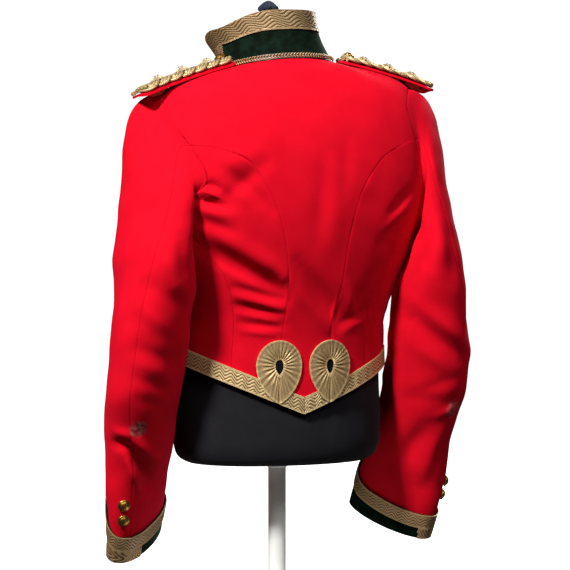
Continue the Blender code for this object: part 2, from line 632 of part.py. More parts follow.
def read_grid(grid, row, column):
    """Bilinear point of a grid that closes in its columns."""
    columns = grid.shape[1]
    r = min(int(math.floor(row)), grid.shape[0] - 2)
    c = int(math.floor(column))
    fr, fc = row - r, column - c
    a = grid[r, c % columns] * (1 - fc) + grid[r, (c + 1) % columns] * fc
    b = grid[r + 1, c % columns] * (1 - fc) + grid[r + 1, (c + 1) % columns] * fc
    return a * (1 - fr) + b * fr


def cut_sleeve(grid, normals, start, stop):
    """Columns start..stop of a sleeve with half a seam gap left at both edges."""
    gap_columns = []
    for edge, inward in ((start, 1), (stop, -1)):
        near = grid[:, edge % grid.shape[1]]
        other = grid[:, (edge + inward) % grid.shape[1]]
        gap_columns.append(SEAM / 2 / np.linalg.norm(other - near, axis=1))
    outer, face = [], []
    for r in range(grid.shape[0]):
        places = list(range(start, stop + 1))
        places[0] = start + gap_columns[0][r]
        places[-1] = stop - gap_columns[1][r]
        outer.append([read_grid(grid, r, c) for c in places])
        face.append([normals[r, c % grid.shape[1]] for c in range(start, stop + 1)])
    return np.array(outer), np.array(face)


def make_sleeve(side, grid, normals, finish):
    """Top sleeve and under sleeve between the hindarm and forearm seams."""
    total = TOP_SLEEVE_COLUMNS + UNDER_SLEEVE_COLUMNS
    for name, start, stop in (("sleeve_top_", 0, TOP_SLEEVE_COLUMNS),
                              ("sleeve_under_", TOP_SLEEVE_COLUMNS, total)):
        outer, face = cut_sleeve(grid, normals, start, stop)
        shell(name + side, side_points(outer, side), side_points(outer - face * CLOTH, side),
              finish)


def row_at_height(grid, column, height):
    """Row of the sleeve grid that lies a length above the sleeve's end."""
    path = np.array([read_grid(grid, r, column) for r in range(grid.shape[0])])[::-1]
    run = np.concatenate([[0], np.cumsum(np.linalg.norm(np.diff(path, axis=0), axis=1))])
    back = np.interp(height, run, np.arange(grid.shape[0]))
    return grid.shape[0] - 1 - float(back)


def cuff_grid(grid, normals, heights, lift):
    """Points over the sleeve's end at shares of the cuff's height, moved out by lift."""
    total = TOP_SLEEVE_COLUMNS + UNDER_SLEEVE_COLUMNS
    inset = SEAM / COLUMN_WIDTH
    columns = [inset] + list(range(1, total)) + [total - inset]
    points = []
    for row_heights in heights:
        line = []
        for c in columns:
            height = row_heights(curve_value(CUFF_HEIGHT, c / total))
            row = row_at_height(grid, c, height)
            normal = unit(read_grid(normals, row, c))
            line.append(read_grid(grid, row, c) + normal * lift)
        points.append(line)
    return np.array(points)


def make_cuff(side, grid, normals, velvet, gold):
    """Pointed velvet cuff, with lace along its top and down beside the hindarm seam."""
    low_lift, high_lift = 3 * SEAM, 3 * SEAM + VELVET
    levels = [lambda top, k=k: top * k / CUFF_BANDS for k in range(CUFF_BANDS + 1)]
    shell("cuff_" + side, side_points(cuff_grid(grid, normals, levels, high_lift), side),
          side_points(cuff_grid(grid, normals, levels, low_lift), side), velvet)
    low_lift = high_lift + 2 * SEAM
    levels = (lambda top: 0.0, lambda top: (top - LACE_WIDTH) * 0.5,
              lambda top: top - LACE_WIDTH, lambda top: top)
    outer = cuff_grid(grid, normals, levels, low_lift + LACE)
    inner = cuff_grid(grid, normals, levels, low_lift)
    mask = np.zeros((3, outer.shape[1] - 1), bool)
    mask[2, :] = True
    mask[:, :CUFF_TURN] = True
    mask[:, -CUFF_TURN:] = True
    shell("cuff_lace_" + side, side_points(outer, side), side_points(inner, side), gold, mask)


# ---------------------------------------------------------------- collar
def collar_point(angle, share, lift):
    """Point of the collar's outer face; share runs from the neck seam to the top."""
    degrees = math.degrees(angle)
    rise = curve_value(COLLAR, degrees, 1)
    lean = curve_value(COLLAR, degrees, 2)
    seat = torso(angle, TOP_LEVEL)
    inward = unit(torso(angle, TOP_LEVEL) - torso(angle, TOP_LEVEL - 0.02))
    out = np.array([math.cos(angle), math.sin(angle), 0.0])
    bow = COLLAR_BOW * math.sin(math.pi * share)
    base = seat + inward * SEAM
    point = base + np.array([0, 0, rise * share]) + out * (lean * share - bow)
    return point + out * lift


def collar_grid(shares, lift, angles):
    """Grid of collar points at shares of its height."""
    return np.array([[collar_point(a, share, lift) for a in angles] for share in shares])


def collar_angles():
    """Angles round the collar between its two front ends."""
    return [math.radians(a) for a in np.linspace(COLLAR[0][0], COLLAR[-1][0],
                                                 COLLAR_SEGMENTS + 1)]


def make_collar(velvet, gold):
    """Open stand collar with lace along its top and ends, and braid at its foot."""
    angles = collar_angles()
    shell("collar", collar_grid(COLLAR_SHARES, 0.0, angles),
          collar_grid(COLLAR_SHARES, -COLLAR_WALL, angles), velvet)
    shares = COLLAR_SHARES[1:]
    mask = np.zeros((4, COLLAR_SEGMENTS), bool)
    mask[2:, :] = True
    mask[:, :COLLAR_TURN] = True
    mask[:, -COLLAR_TURN:] = True
    shell("collar_lace", collar_grid(shares, SEAM + LACE, angles),
          collar_grid(shares, SEAM, angles), gold, mask)
    shares = (BRAID_FOOT, BRAID_FOOT + BRAID_HEIGHT / COLLAR_MEAN_RISE)
    shell("collar_braid", collar_grid(shares, SEAM + BRAID_WALL, angles),
          collar_grid(shares, SEAM, angles), gold)


# ---------------------------------------------------------------- lace on the body
def strip_on_torso(name, lines, low_lift, high_lift, finish):
    """Strip of lace from two lines of (angle, level) on the torso."""
    angles = np.array([[a for a, _ in line] for line in lines])
    levels = np.array([[level for _, level in line] for line in lines])
    zero = np.zeros_like(angles)
    shell(name, torso_lift(angles, levels, zero + high_lift),
          torso_lift(angles, levels, zero + low_lift), finish)


def make_hem_lace(side, gold):
    """Hem lace from the front edge to the point behind, where the two sides meet."""
    start, stop = curve_value(FRONT_EDGE, 0.0), 90.0
    angles = list(np.linspace(start, stop, HEM_STEPS))
    angles[-1] -= math.degrees(SEAM / 2 / HEM_HALF_BODY)
    low, high = [], []
    for a in angles:
        radians = mirrored(a, side)
        low.append((radians, 0.0))
        high.append((radians, climb(radians, 0.0, HEM_LACE_WIDTH)))
    strip_on_torso("hem_lace_" + side, (low, high), SEAM, SEAM + LACE, gold)


def make_front_lace(side, gold):
    """Lace up the front edge, from the hem lace to the collar."""
    lines = ([], [])
    start = climb(mirrored(FRONT_EDGE[0][1], side), 0.0, HEM_LACE_WIDTH + FRONT_LACE_GAP)
    middle = [level for level, _ in body_rows(2.0, TOP_LEVEL)][:-1]
    for level in [start, 1.0, 1.6] + middle + [FRONT_LACE_TOP]:
        edge = curve_value(FRONT_EDGE, level)
        a = mirrored(edge, side)
        stretch = np.linalg.norm(torso(a + 0.01, level) - torso(a - 0.01, level)) / 0.02
        lines[0].append((a, level))
        lines[1].append((mirrored(edge + math.degrees(LACE_WIDTH / stretch), side), level))
    strip_on_torso("front_lace_" + side, lines, 3 * SEAM, 3 * SEAM + LACE, gold)


def teardrop(turn, half_width, top, tip):
    """Outline of an eye: round above and pointed below; turn in radians from +x."""
    c, s = math.cos(turn), math.sin(turn)
    if s >= 0:
        return half_width * c, top * s
    narrow = (1 - abs(s) ** EYE_ROUND) ** EYE_NARROW if abs(s) < 1 else 0.0
    return half_width * math.copysign(narrow, c), tip * abs(s) ** EYE_POINT


def make_eye(side, gold):
    """Gathered loop of lace with an open eye, its point on the hem lace."""
    centre_x = EYE_CENTRE_X[side]
    grid, low = [], []
    for band in range(EYE_BANDS + 1):
        t = band / EYE_BANDS
        line, under = [], []
        for k in range(EYE_SEGMENTS):
            turn = 2 * math.pi * k / EYE_SEGMENTS + math.pi / 2
            inner = teardrop(turn, EYE_HOLE_HALF_WIDTH, EYE_HOLE_TOP, EYE_HOLE_TIP)
            outer = teardrop(turn, EYE_HALF_WIDTH, EYE_TOP, EYE_TIP)
            x = centre_x + inner[0] + (outer[0] - inner[0]) * t
            z = EYE_CENTRE_Z + inner[1] + (outer[1] - inner[1]) * t
            a, level = find_on_back(x, z)
            line.append(torso_lift(a, level, EYE_HEIGHT))
            lace_top = climb(a, 0.0, HEM_LACE_WIDTH + EYE_ON_LACE)
            lift = EYE_UNDER if level > lace_top else EYE_OVER_LACE
            under.append(torso_lift(a, level, lift))
        grid.append(line)
        low.append(under)
    shell("eye_" + side, np.array(grid), np.array(low), gold, closed=True)


def find_on_back(x, z):
    """Angle and level of the torso's back surface at a given x and z."""
    angle, level = math.pi / 2, 0.8
    for _ in range(30):
        point = torso(angle, level)
        d_angle = (torso(angle + 1e-4, level) - point) / 1e-4
        d_level = (torso(angle, level + 1e-4) - point) / 1e-4
        jacobian = np.array([[d_angle[0], d_level[0]], [d_angle[2], d_level[2]]])
        move = np.linalg.solve(jacobian, np.array([x - point[0], z - point[2]]))
        angle += 0.7 * move[0]
        level = min(max(level + 0.7 * move[1], 0.0), 4.0)
    return angle, level


# ---------------------------------------------------------------- shoulder boards
def board_frame(share, across, up, side):
    """Point on a shoulder board: share of its length, across it and above its underside."""
    start, stop = np.array(BOARD_START), np.array(BOARD_END)
    along = unit(stop - start)
    side_way = unit(np.cross(np.array([0, 0, 1.0]), along))
    above = np.cross(along, side_way)
    sag = (BOARD_REAR_SAG if across > 0 else BOARD_SAG) * across ** 2
    rise = BOARD_ARCH * 4 * share * (1 - share)
    point = start + (stop - start) * share + side_way * across + above * (up + rise - sag)
    return side_points(point, side)


def board_outline(share, lobes=0):
    """Half width of a board or of its cords at a share of its length."""
    half = BOARD_HALF_WIDTH
    for reach, low in zip((share, 1 - share), BOARD_END_WIDTHS):
        if reach < BOARD_END_SHARE:
            round_off = math.sqrt(1 - (1 - reach / BOARD_END_SHARE) ** 2)
            half = BOARD_HALF_WIDTH * (low + (1 - low) * round_off)
    if lobes:
        half -= CORD_INSET - CORD_LOBE * abs(math.sin(math.pi * lobes * share))
    return half


def make_board(side, cloth, gold):
    """Cloth backing and, on it, the plaited cords as one scalloped strip."""
    for name, low, high, lobes, steps, finish in (
            ("shoulder_backing_", 0.0, BOARD_WALL, 0, BACKING_STEPS, cloth),
            ("shoulder_cord_", BOARD_WALL + SEAM, BOARD_WALL + SEAM + CORD_HEIGHT,
             CORD_LOBES, CORD_STEPS, gold)):
        top, under = [], []
        for k in range(steps + 1):
            share = k / steps
            half = board_outline(share, lobes)
            line_top, line_under = [], []
            for j in range(-2, 3):
                across = half * j / 2
                crown = high
                if lobes:
                    crown = high - (high - low) * CORD_EDGE_FALL * (abs(j) / 2) ** 2
                line_top.append(board_frame(share, across, crown, side))
                line_under.append(board_frame(share, across, low, side))
            top.append(line_top)
            under.append(line_under)
        shell(name + side, np.array(top), np.array(under), finish)


def lathe(name, profile, segments, finish, place):
    """Solid of revolution from (radius, height) pairs; place maps (x, y, h) to a point."""
    verts, faces = [], []
    for radius, height in profile:
        for k in range(segments):
            turn = 2 * math.pi * k / segments
            verts.append(place(radius * math.cos(turn), radius * math.sin(turn), height))
    for r in range(len(profile) - 1):
        for k in range(segments):
            a, b = r * segments + k, r * segments + (k + 1) % segments
            faces.append((a, b, b + segments, a + segments))
    last = (len(profile) - 1) * segments
    faces.append(tuple(reversed(range(segments))))
    faces.append(tuple(range(last, last + segments)))
    return add_object(name, verts, faces, finish)


def frame_place(origin, out, hint):
    """Placing function of a small trim that stands on a point with a given outward axis."""
    out = unit(np.array(out))
    across = unit(np.cross(hint, out))
    third = np.cross(out, across)

    def place(x, y, height):
        return settle(origin + across * x + third * y + out * height)

    return place


def make_button(name, origin, out, finish):
    """Domed button with a rim."""
    profile = [(r * BUTTON_RADIUS, h * BUTTON_HEIGHT) for r, h in BUTTON_PROFILE]
    hint = np.array([0.0, 0.0, 1.0]) if abs(unit(np.array(out))[2]) < 0.9 else np.array(
        [0.0, 1.0, 0.0])
    lathe(name, profile, BUTTON_SEGMENTS, finish, frame_place(np.array(origin), out, hint))


def make_star(name, origin, out, hint, finish):
    """Eight-rayed rank star."""
    place = frame_place(np.array(origin), out, hint)
    verts = []
    for height, scale in STAR_LAYERS:
        for k in range(STAR_POINTS * 2):
            turn = math.pi * k / STAR_POINTS
            radius = STAR_RADIUS * scale * (1.0 if k % 2 == 0 else STAR_VALLEY)
            verts.append(place(radius * math.cos(turn), radius * math.sin(turn),
                               height * STAR_HEIGHT))
    ring = STAR_POINTS * 2
    faces = [tuple(reversed(range(ring)))]
    for level in range(2):
        for k in range(ring):
            a, b = level * ring + k, level * ring + (k + 1) % ring
            faces.append((a, b, b + ring, a + ring))
    faces.append(tuple(range(2 * ring, 3 * ring)))
    add_object(name, verts, faces, finish, smooth=False)


def make_shoulder_trims(side, grid, gilt, cream):
    """Button, three stars and the keeper strap under the board's outer end."""
    middle_up = BOARD_WALL + 3 * SEAM + CORD_HEIGHT
    up = unit(board_frame(0.5, 0.0, 1.0, side) - board_frame(0.5, 0.0, 0.0, side))
    hint = board_frame(1.0, 0.0, 0.0, side) - board_frame(0.0, 0.0, 0.0, side)
    make_button("shoulder_button_" + side,
                board_frame(SHOULDER_BUTTON_PLACE, 0.0, middle_up, side), up, gilt)
    for index, share in enumerate(STAR_PLACES, start=1):
        make_star("star_%s%d" % (side, index), board_frame(share, 0.0, middle_up, side),
                  up, unit(hint), gilt)
    make_keeper(side, grid, cream)


def shoulder_cloud(grid):
    """Many points of the shoulder and sleeve head, to find what lies under a trim."""
    levels, angles = np.meshgrid(np.linspace(6.6, 9.0, 120), np.radians(np.linspace(-60, 70, 160)))
    cloud = [torso(angles, levels).reshape(-1, 3)]
    for row in np.linspace(0, 4, 33):
        cloud.append([read_grid(grid, row, c) for c in np.linspace(0, 14, 113)])
    return np.concatenate(cloud)


def make_keeper(side, grid, cream):
    """Folded strap end between the top of the sleeve and the board."""
    cloud = shoulder_cloud(grid)
    top, under = [], []
    for share in np.linspace(*KEEPER_SHARES, KEEPER_POINTS):
        line_top, line_under = [], []
        for across in np.linspace(-KEEPER_HALF_WIDTH, KEEPER_HALF_WIDTH, KEEPER_POINTS):
            high = board_frame(share, across, -SEAM, "L")
            near = np.hypot(cloud[:, 0] - high[0], cloud[:, 1] - high[1]) < KEEPER_REACH
            low = cloud[near, 2].max() + KEEPER_GAP
            line_top.append(side_points(high, side))
            line_under.append(side_points((high[0], high[1], min(low, high[2] - KEEPER_LEAST)), side))
        top.append(line_top)
        under.append(line_under)
    shell("shoulder_keeper_" + side, np.array(top), np.array(under), cream)


# ---------------------------------------------------------------- form and stand
def form_ring(half_width, half_depth, centre_y, z):
    """Plain rounded ring of the form."""
    turn = 2 * np.pi * np.arange(FORM_SEGMENTS) / FORM_SEGMENTS
    power = 2 / 2.15
    x = half_width * np.sign(np.cos(turn)) * np.abs(np.cos(turn)) ** power
    y = centre_y + half_depth * np.sign(np.sin(turn)) * np.abs(np.sin(turn)) ** power
    return np.stack([x, y, np.full_like(x, z)], -1)


def make_form(jersey):
    """Limbless torso with a capped neck, filling the jacket without touching it."""
    turn = 2 * np.pi * np.arange(FORM_SEGMENTS) / FORM_SEGMENTS
    rings = [form_ring(a, b, y, z) for z, a, b, y in FORM_HIPS]
    for level in FORM_LEVELS:
        inset = curve_value(FORM_INSET, level)
        level = np.full_like(turn, level)
        rings.append(torso(turn, level, folded=False) - torso_normal(turn, level) * inset)
    for z, radius, x, y in FORM_NECK:
        rings.append(form_ring(radius, radius, y, z) + np.array([x, 0.0, 0.0]))
    verts = settle(np.concatenate(rings))
    faces = [tuple(reversed(range(FORM_SEGMENTS)))]
    for r in range(len(rings) - 1):
        for k in range(FORM_SEGMENTS):
            a = r * FORM_SEGMENTS + k
            b = r * FORM_SEGMENTS + (k + 1) % FORM_SEGMENTS
            faces.append((a, b, b + FORM_SEGMENTS, a + FORM_SEGMENTS))
    last = (len(rings) - 1) * FORM_SEGMENTS
    faces.append(tuple(range(last, last + FORM_SEGMENTS)))
    add_object("dress_form", verts, faces, jersey)


def make_knot(jersey):
    """Gathered knot of the form's cover, standing on its neck."""
    height = KNOT_TOP - KNOT_BASE

    def place(x, y, h):
        pinch = 1 + KNOT_PINCH * math.cos(KNOT_PLEATS * math.atan2(y, x))
        return settle(np.array([KNOT_X + x * pinch, KNOT_Y + y * pinch * KNOT_FLATNESS,
                                KNOT_BASE + h * height]))

    lathe("form_knot", KNOT_PROFILE, KNOT_SEGMENTS, jersey, place)


def make_stand(steel):
    """Round base and pole; the pole ends in a flange under the form."""
    def place(x, y, h):
        return np.array([x, y, h])

    lathe("stand_base", BASE_PROFILE, ROUND_SEGMENTS, steel, place)
    foot, top = HUB_HEIGHT + SEAM, FORM_HIPS[0][0] - SEAM
    pole = [(radius, foot + height) for radius, height in SOCKET_PROFILE]
    pole += [(radius, top - depth) for radius, depth in FLANGE_PROFILE]
    lathe("stand_pole", pole, POLE_SEGMENTS, steel, place)


# ---------------------------------------------------------------- cuff buttons
def make_cuff_buttons(side, grid, normals, gilt):
    """Two buttons above the cuff, beside the hindarm seam."""
    for index, height in enumerate(CUFF_BUTTON_HEIGHTS, start=1):
        row = row_at_height(grid, CUFF_BUTTON_STEP, height)
        point = read_grid(grid, row, CUFF_BUTTON_STEP)
        normal = unit(read_grid(normals, row, CUFF_BUTTON_STEP))
        origin = side_points(point + normal * 2 * SEAM, side)
        make_button("cuff_button_%s%d" % (side, index), origin, side_points(normal, side),
                    gilt)


def main():
    """Build every piece of the jacket, its form and its stand."""
    for old in list(bpy.data.objects):
        bpy.data.objects.remove(old)
    scarlet = material("scarlet doeskin", (0.62, 0.004, 0.012), 0.85)
    green = material("dark green velvet", (0.006, 0.022, 0.012), 0.95)
    gold = material("gold wire lace", (0.42, 0.30, 0.15), 0.5, 0.6)
    gilt = material("gilt brass", (0.55, 0.38, 0.11), 0.3, 1.0)
    jersey = material("black cotton jersey", (0.012, 0.012, 0.014), 0.9)
    navy = material("navy cotton", (0.02, 0.025, 0.05), 0.9)
    cream = material("cream felt", (0.75, 0.62, 0.42), 0.9)
    steel = material("white enamelled steel", (0.85, 0.85, 0.85), 0.35)
    make_back(scarlet)
    for side in ("L", "R"):
        make_side_body(side, scarlet)
        make_front(side, scarlet)
        grid, normals = sleeve_grid(side)
        make_sleeve(side, grid, normals, scarlet)
        make_cuff(side, grid, normals, green, gold)
        make_cuff_buttons(side, grid, normals, gilt)
        make_hem_lace(side, gold)
        make_front_lace(side, gold)
        make_eye(side, gold)
        make_board(side, scarlet, gold)
        make_shoulder_trims(side, grid, gilt, cream)
    make_collar(green, gold)
    make_form(jersey)
    make_knot(navy)
    make_stand(steel)


main()
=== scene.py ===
"""Looks of the officer's mess jacket on its dress form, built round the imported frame.

Every cloth panel is cut again on the same surfaces as its solid, fine enough to carry its
creases, seams and naps.  Lengths are in metres, +Z is up, the wearer faces -Y and the
wearer's left is +X.
"""
import math

import bmesh
import bpy
import numpy as np
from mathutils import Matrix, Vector


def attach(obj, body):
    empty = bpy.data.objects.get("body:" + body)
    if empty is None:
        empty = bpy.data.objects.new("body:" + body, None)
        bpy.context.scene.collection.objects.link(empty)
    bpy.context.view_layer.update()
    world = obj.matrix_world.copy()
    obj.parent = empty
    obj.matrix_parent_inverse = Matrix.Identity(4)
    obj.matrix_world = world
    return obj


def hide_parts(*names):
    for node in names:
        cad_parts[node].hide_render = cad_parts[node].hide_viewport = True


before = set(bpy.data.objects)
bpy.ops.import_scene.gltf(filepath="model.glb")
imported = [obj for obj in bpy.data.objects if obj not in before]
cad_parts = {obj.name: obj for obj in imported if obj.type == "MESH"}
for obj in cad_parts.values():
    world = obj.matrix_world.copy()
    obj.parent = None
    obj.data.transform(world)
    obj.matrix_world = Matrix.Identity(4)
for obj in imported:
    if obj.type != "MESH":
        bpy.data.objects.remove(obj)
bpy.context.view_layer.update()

# ---------------------------------------------------------------- driving sizes
CLOTH = 0.0020            # doeskin wall
SEAM = 0.0003             # gap left between two pieces
VELVET = 0.0015           # facing cloth of the cuffs
LACE = 0.0012             # woven gold lace
LACE_WIDTH = 0.0220       # hem, front and cuff lace
HEM_LACE_TOP = 1.05 * LACE_WIDTH          # its climb up the curved hem
FRONT_LACE_START, EYE_ON_LACE = 0.004, 0.014   # above the hem lace, and over its top
COLLAR_WALL = 0.0026      # stiffened collar
BRAID_HEIGHT = 0.0075
SHOULDER_TILT = 0.057     # the worn jacket sits higher on its right shoulder
TILT_FROM, TILT_TO = 0.45, 0.76
STEP = 0.0024             # spacing of the fine cloth grids
TURNED_IN = 0.0009        # first step from a seam, where the cloth dips into it
TUCK_DEPTH, TUCK_REACH = 0.0004, 0.0011   # of the dip beside a seam
SIDES = ("L", "R")

# Heights at the front, side and back of each ring of the torso, its half width, the y of its
# front, widest and back points, the power of its outline and how pointed it hangs behind.
TORSO_RINGS = np.array((
    (0.358, 0.396, 0.327, 0.1525, -0.100, 0.006, 0.106, 2.15, 1.00),     # hem
    (0.415, 0.420, 0.405, 0.1510, -0.100, 0.008, 0.108, 2.15, 0.35),
    (0.460, 0.458, 0.460, 0.1515, -0.100, 0.010, 0.118, 2.15, 0.00),     # waist
    (0.505, 0.502, 0.512, 0.1660, -0.106, 0.014, 0.132, 2.20, 0.00),
    (0.560, 0.558, 0.572, 0.1900, -0.113, 0.024, 0.143, 2.25, 0.00),     # ribs
    (0.615, 0.622, 0.632, 0.2050, -0.117, 0.034, 0.147, 2.35, 0.00),     # armpit
    (0.660, 0.700, 0.692, 0.2000, -0.112, 0.038, 0.143, 2.30, 0.00),
    (0.700, 0.766, 0.742, 0.1780, -0.101, 0.037, 0.130, 2.15, 0.00),     # shoulder
    (0.732, 0.7920, 0.784, 0.1260, -0.083, 0.026, 0.109, 2.05, 0.00),
    (0.750, 0.803, 0.806, 0.0745, -0.062, 0.014, 0.087, 2.00, 0.00),     # neck
))
TOP_LEVEL = float(len(TORSO_RINGS) - 1)
HEM_POINT = 1.6           # how late the hem drops into its point

# Seams on the torso: angles in degrees from the wearer's side, + towards the back.
BACK_SEAM = (             # level, left, right
    (0.00, 79.0, 77.0), (1.50, 79.0, 77.0), (2.80, 81.0, 75.0), (3.80, 80.0, 76.0),
    (4.70, 77.0, 74.5), (5.10, 74.0, 71.5), (5.40, 70.5, 67.0), (5.62, 65.5, 62.0),
    (5.735, 60.5, 56.5), (5.83, 54.0, 50.5), (5.88, 47.5, 45.0), (5.90, 39.5, 38.0),
)
TIP_FROM = 5.6            # level from which the back seams run almost level
SIDE_SEAM = ((0.0, 52.0), (2.6, 51.5), (3.4, 47.0), (4.2, 35.0), (4.8, 20.0))
FRONT_EDGE = ((0.0, -46.0), (2.0, -50.0), (3.0, -56.0), (4.0, -62.0), (5.0, -65.0),
              (6.0, -65.0), (7.0, -61.0), (8.0, -51.0), (9.0, -42.0))
ARMHOLE_LOW, ARMHOLE_HIGH = 4.8, 7.0
ARMHOLE_STEPS = (0.0, 0.09, 0.18, 0.27, 0.36, 0.43, 0.47, 0.5, 0.58, 0.67, 0.76, 0.85,
                 0.93, 1.0)
ARMHOLE = (               # climb, back_left, back_right, front
    (0.00, 20.0, 20.0, 20.0), (0.25, 49.0, 31.0, -22.0), (0.50, 39.5, 38.0, -34.0),
    (0.75, 13.0, 36.0, -26.0), (1.00, 8.0, 14.0, 10.0),
)
SHOULDER_SEAM_AT_NECK = 5.0
PANELS = {"back": (0.24, 11), "side_body": (0.08, 23), "front": (0.19, 37)}  # width, seed

# Sleeve sections: height, centre, half axes, direction of the wide axis, fall of the plane
# towards the back, and where the hindarm seam lies on the left and the right sleeve.
SLEEVE_SECTIONS = (
    (0.582, 0.191, 0.0720, 0.0760, 0.0450, 106.0, 0.10, -36.0, -35.0),
    (0.540, 0.200, 0.0715, 0.0730, 0.0450, 105.0, 0.05, -42.0, -40.0),
    (0.500, 0.196, 0.0655, 0.0750, 0.0520, 91.0, 0.00, -34.0, -33.0),
    (0.465, 0.1995, 0.0660, 0.0665, 0.0520, 80.5, 0.00, -23.0, -27.0),
    (0.430, 0.2005, 0.0605, 0.0655, 0.0525, 67.5, 0.00, -10.0, -19.0),
    (0.395, 0.202, 0.0520, 0.0655, 0.0495, 57.0, 0.05, 2.0, -13.0),
    (0.360, 0.204, 0.0430, 0.0645, 0.0470, 50.5, 0.13, 11.0, -8.0),
    (0.325, 0.2035, 0.0260, 0.0600, 0.0450, 43.5, 0.25, 23.0, 0.0),
    (0.283, 0.2005, 0.0065, 0.0590, 0.0395, 42.5, 0.35, 32.0, 3.0),
    (0.240, 0.200, -0.0080, 0.0595, 0.0325, 42.0, 0.42, 41.0, 5.0),
    (0.200, 0.196, -0.0245, 0.0615, 0.0265, 45.5, 0.47, 39.0, 4.0),
    (0.154, 0.1925, -0.0475, 0.0610, 0.0240, 47.0, 0.50, 37.0, 7.0),
)
SLEEVE_HANG = {"L": -0.0045, "R": 0.0045}
HEAD_SMOOTHING, NORMAL_SMOOTHING = 3, 2
UNDERARM_FROM, UNDERARM_TO, UNDERARM_EASE = 0.645, 0.670, 0.8
HEAD_STEPS = (0.12, 0.30, 0.50, 0.72)
TOP_SLEEVE_SWEEP, TOP_SLEEVE_COLUMNS, UNDER_SLEEVE_COLUMNS = 210.0, 16, 10
SLEEVE_COLUMNS = TOP_SLEEVE_COLUMNS + UNDER_SLEEVE_COLUMNS
COLUMN_STEP, CUFF_COLUMN_STEP = 0.25, 0.2       # of the fine grids, in columns
BODY_CLEARANCE, PRESS_FROM, PRESS_FULL = 0.0055, 0.27, 0.36
ARMPIT_BEND, PRESS_SOFTNESS, FLANK_TOP = 0.014, 0.006, 5.8   # the last is a level
CROWN_FROM, CROWN_LIFT = 0.70, (0.20, -0.50, 0.92)
BASE_OUT, BASE_IN, CROWN_OUT, CROWN_IN = 0.25, 0.42, 0.41, 0.53
CUFF_HEIGHT = ((0.0, 0.039), (0.12, 0.045), (0.25, 0.070), (0.38, 0.118), (0.50, 0.080),
               (0.62, 0.052), (0.78, 0.043), (0.90, 0.040), (1.0, 0.039))

# Collar: angle, rise of its top above the neck seam, how far it leans out
COLLAR = ((-42.0, 0.068, 0.037), (-15.0, 0.057, 0.025), (5.0, 0.054, 0.016),
          (45.0, 0.067, 0.001), (90.0, 0.067, -0.009), (135.0, 0.069, -0.022),
          (180.0, 0.074, -0.038), (222.0, 0.070, -0.020))
COLLAR_LACE_END, COLLAR_LACE_FOOT = 0.16, 0.61    # shares: low end at the fronts, lower edge
COLLAR_BOW, COLLAR_LACE_TURN, COLLAR_LACE_SLANT = 0.004, 0.042, 0.020
BRAID_FOOT, BRAID_PITCH = 0.012, 0.0042
BRAID_TOP = BRAID_FOOT + BRAID_HEIGHT / 0.069     # both as shares of the collar's rise
EYE_HALF_WIDTH, EYE_TOP, EYE_TIP = 0.0305, 0.0340, -0.0510
EYE_HOLE_HALF_WIDTH, EYE_HOLE_TOP, EYE_HOLE_TIP = 0.0055, 0.0080, -0.0120
EYE_CENTRE_X = {"L": 0.0350, "R": -0.0372}
EYE_CENTRE_Z = 0.3925
EYE_GATHERS, EYE_FOLD, EYE_ROLL, EYE_PINCH = 27, 0.00085, 0.0009, 0.0014
EYE_BODY, EYE_OVER_LACE, EYE_OVER_CLOTH, EYE_COVER = 0.0026, 0.0019, 0.0005, 0.0006
BOARD_START = (0.0790, 0.032, 0.8055)     # underside at the neck end
BOARD_END = (0.2140, 0.044, 0.7620)       # underside at the sleeve end
BOARD_HALF_WIDTH, BOARD_WALL, BOARD_ARCH = 0.0260, 0.0030, 0.0028
BOARD_END_SHARE = 0.07                    # rounded at each end
BOARD_SAG, BOARD_REAR_SAG = 2.0, 5.0      # drop of the edges per metre of width squared
CORD_HEIGHT, CORD_LOBES, CORD_RADIUS = 0.0085, 5, 0.0026
CORD_TWIST, CORD_STEP = 0.0105, 0.00085   # length of one twist, of one step of the sweep
CORD_SPACING, CORD_WAVE = 1.95, 0.0019    # in cord radii, and how high the plait climbs
CORD_PLACES, BOARD_CUT_WIDTH = (0.018, 0.982), 0.051      # where the plait starts and stops
PIP_RADIUS, PIP_HEIGHT, PIP_RAYS = 0.0095, 0.0058, 8
PIP_PLACES = (0.24, 0.50, 0.76)
BUTTON_RADIUS, BUTTON_HEIGHT, BUTTON_PLACE = 0.0083, 0.0060, 0.085
KEEPER_SHARES, KEEPER_HALF_WIDTH, KEEPER_REACH = (0.70, 0.86), 0.012, 0.005
KEEPER_DROP = 0.0075
CUFF_TURN_SPREAD = {"L": 2.0, "R": 1.0}  # how much wider the cuff lace turns down outside
CUFF_BUTTON_HEIGHTS, CUFF_BUTTON_STEP = (0.067, 0.088), 1.2
FORM_HIPS = (             # z, half width, half depth, centre y
    (0.2555, 0.118, 0.078, 0.000), (0.2570, 0.130, 0.087, 0.000),
    (0.2660, 0.1425, 0.0950, 0.000), (0.2850, 0.1480, 0.0985, 0.001),
    (0.3200, 0.1490, 0.0990, 0.001), (0.3700, 0.1465, 0.0970, 0.002),
)
FORM_INSET = ((0.0, 0.0055), (1.4, 0.0060), (2.5, 0.009), (4.0, 0.016), (5.0, 0.018),
              (6.0, 0.012), (7.0, 0.0060), (8.0, 0.0034), (8.6, 0.0042), (9.0, 0.0065))
FORM_CREASES = ((1.93, 0.02, -0.0010), (1.98, 0.03, 0.0005))    # place, width, lift
FORM_LEVELS = (1.3, 2.0, 2.7, 3.5, 4.3, 5.0, 5.6, 6.2, 6.7, 7.1, 7.5, 8.0, 8.5, 8.9)
FORM_NECK = (             # z, radius, centre x, centre y
    (0.8220, 0.0500, 0.002, 0.016), (0.8450, 0.0400, 0.008, 0.018),
    (0.8580, 0.0330, 0.011, 0.018), (0.8640, 0.0200, 0.012, 0.018),
)
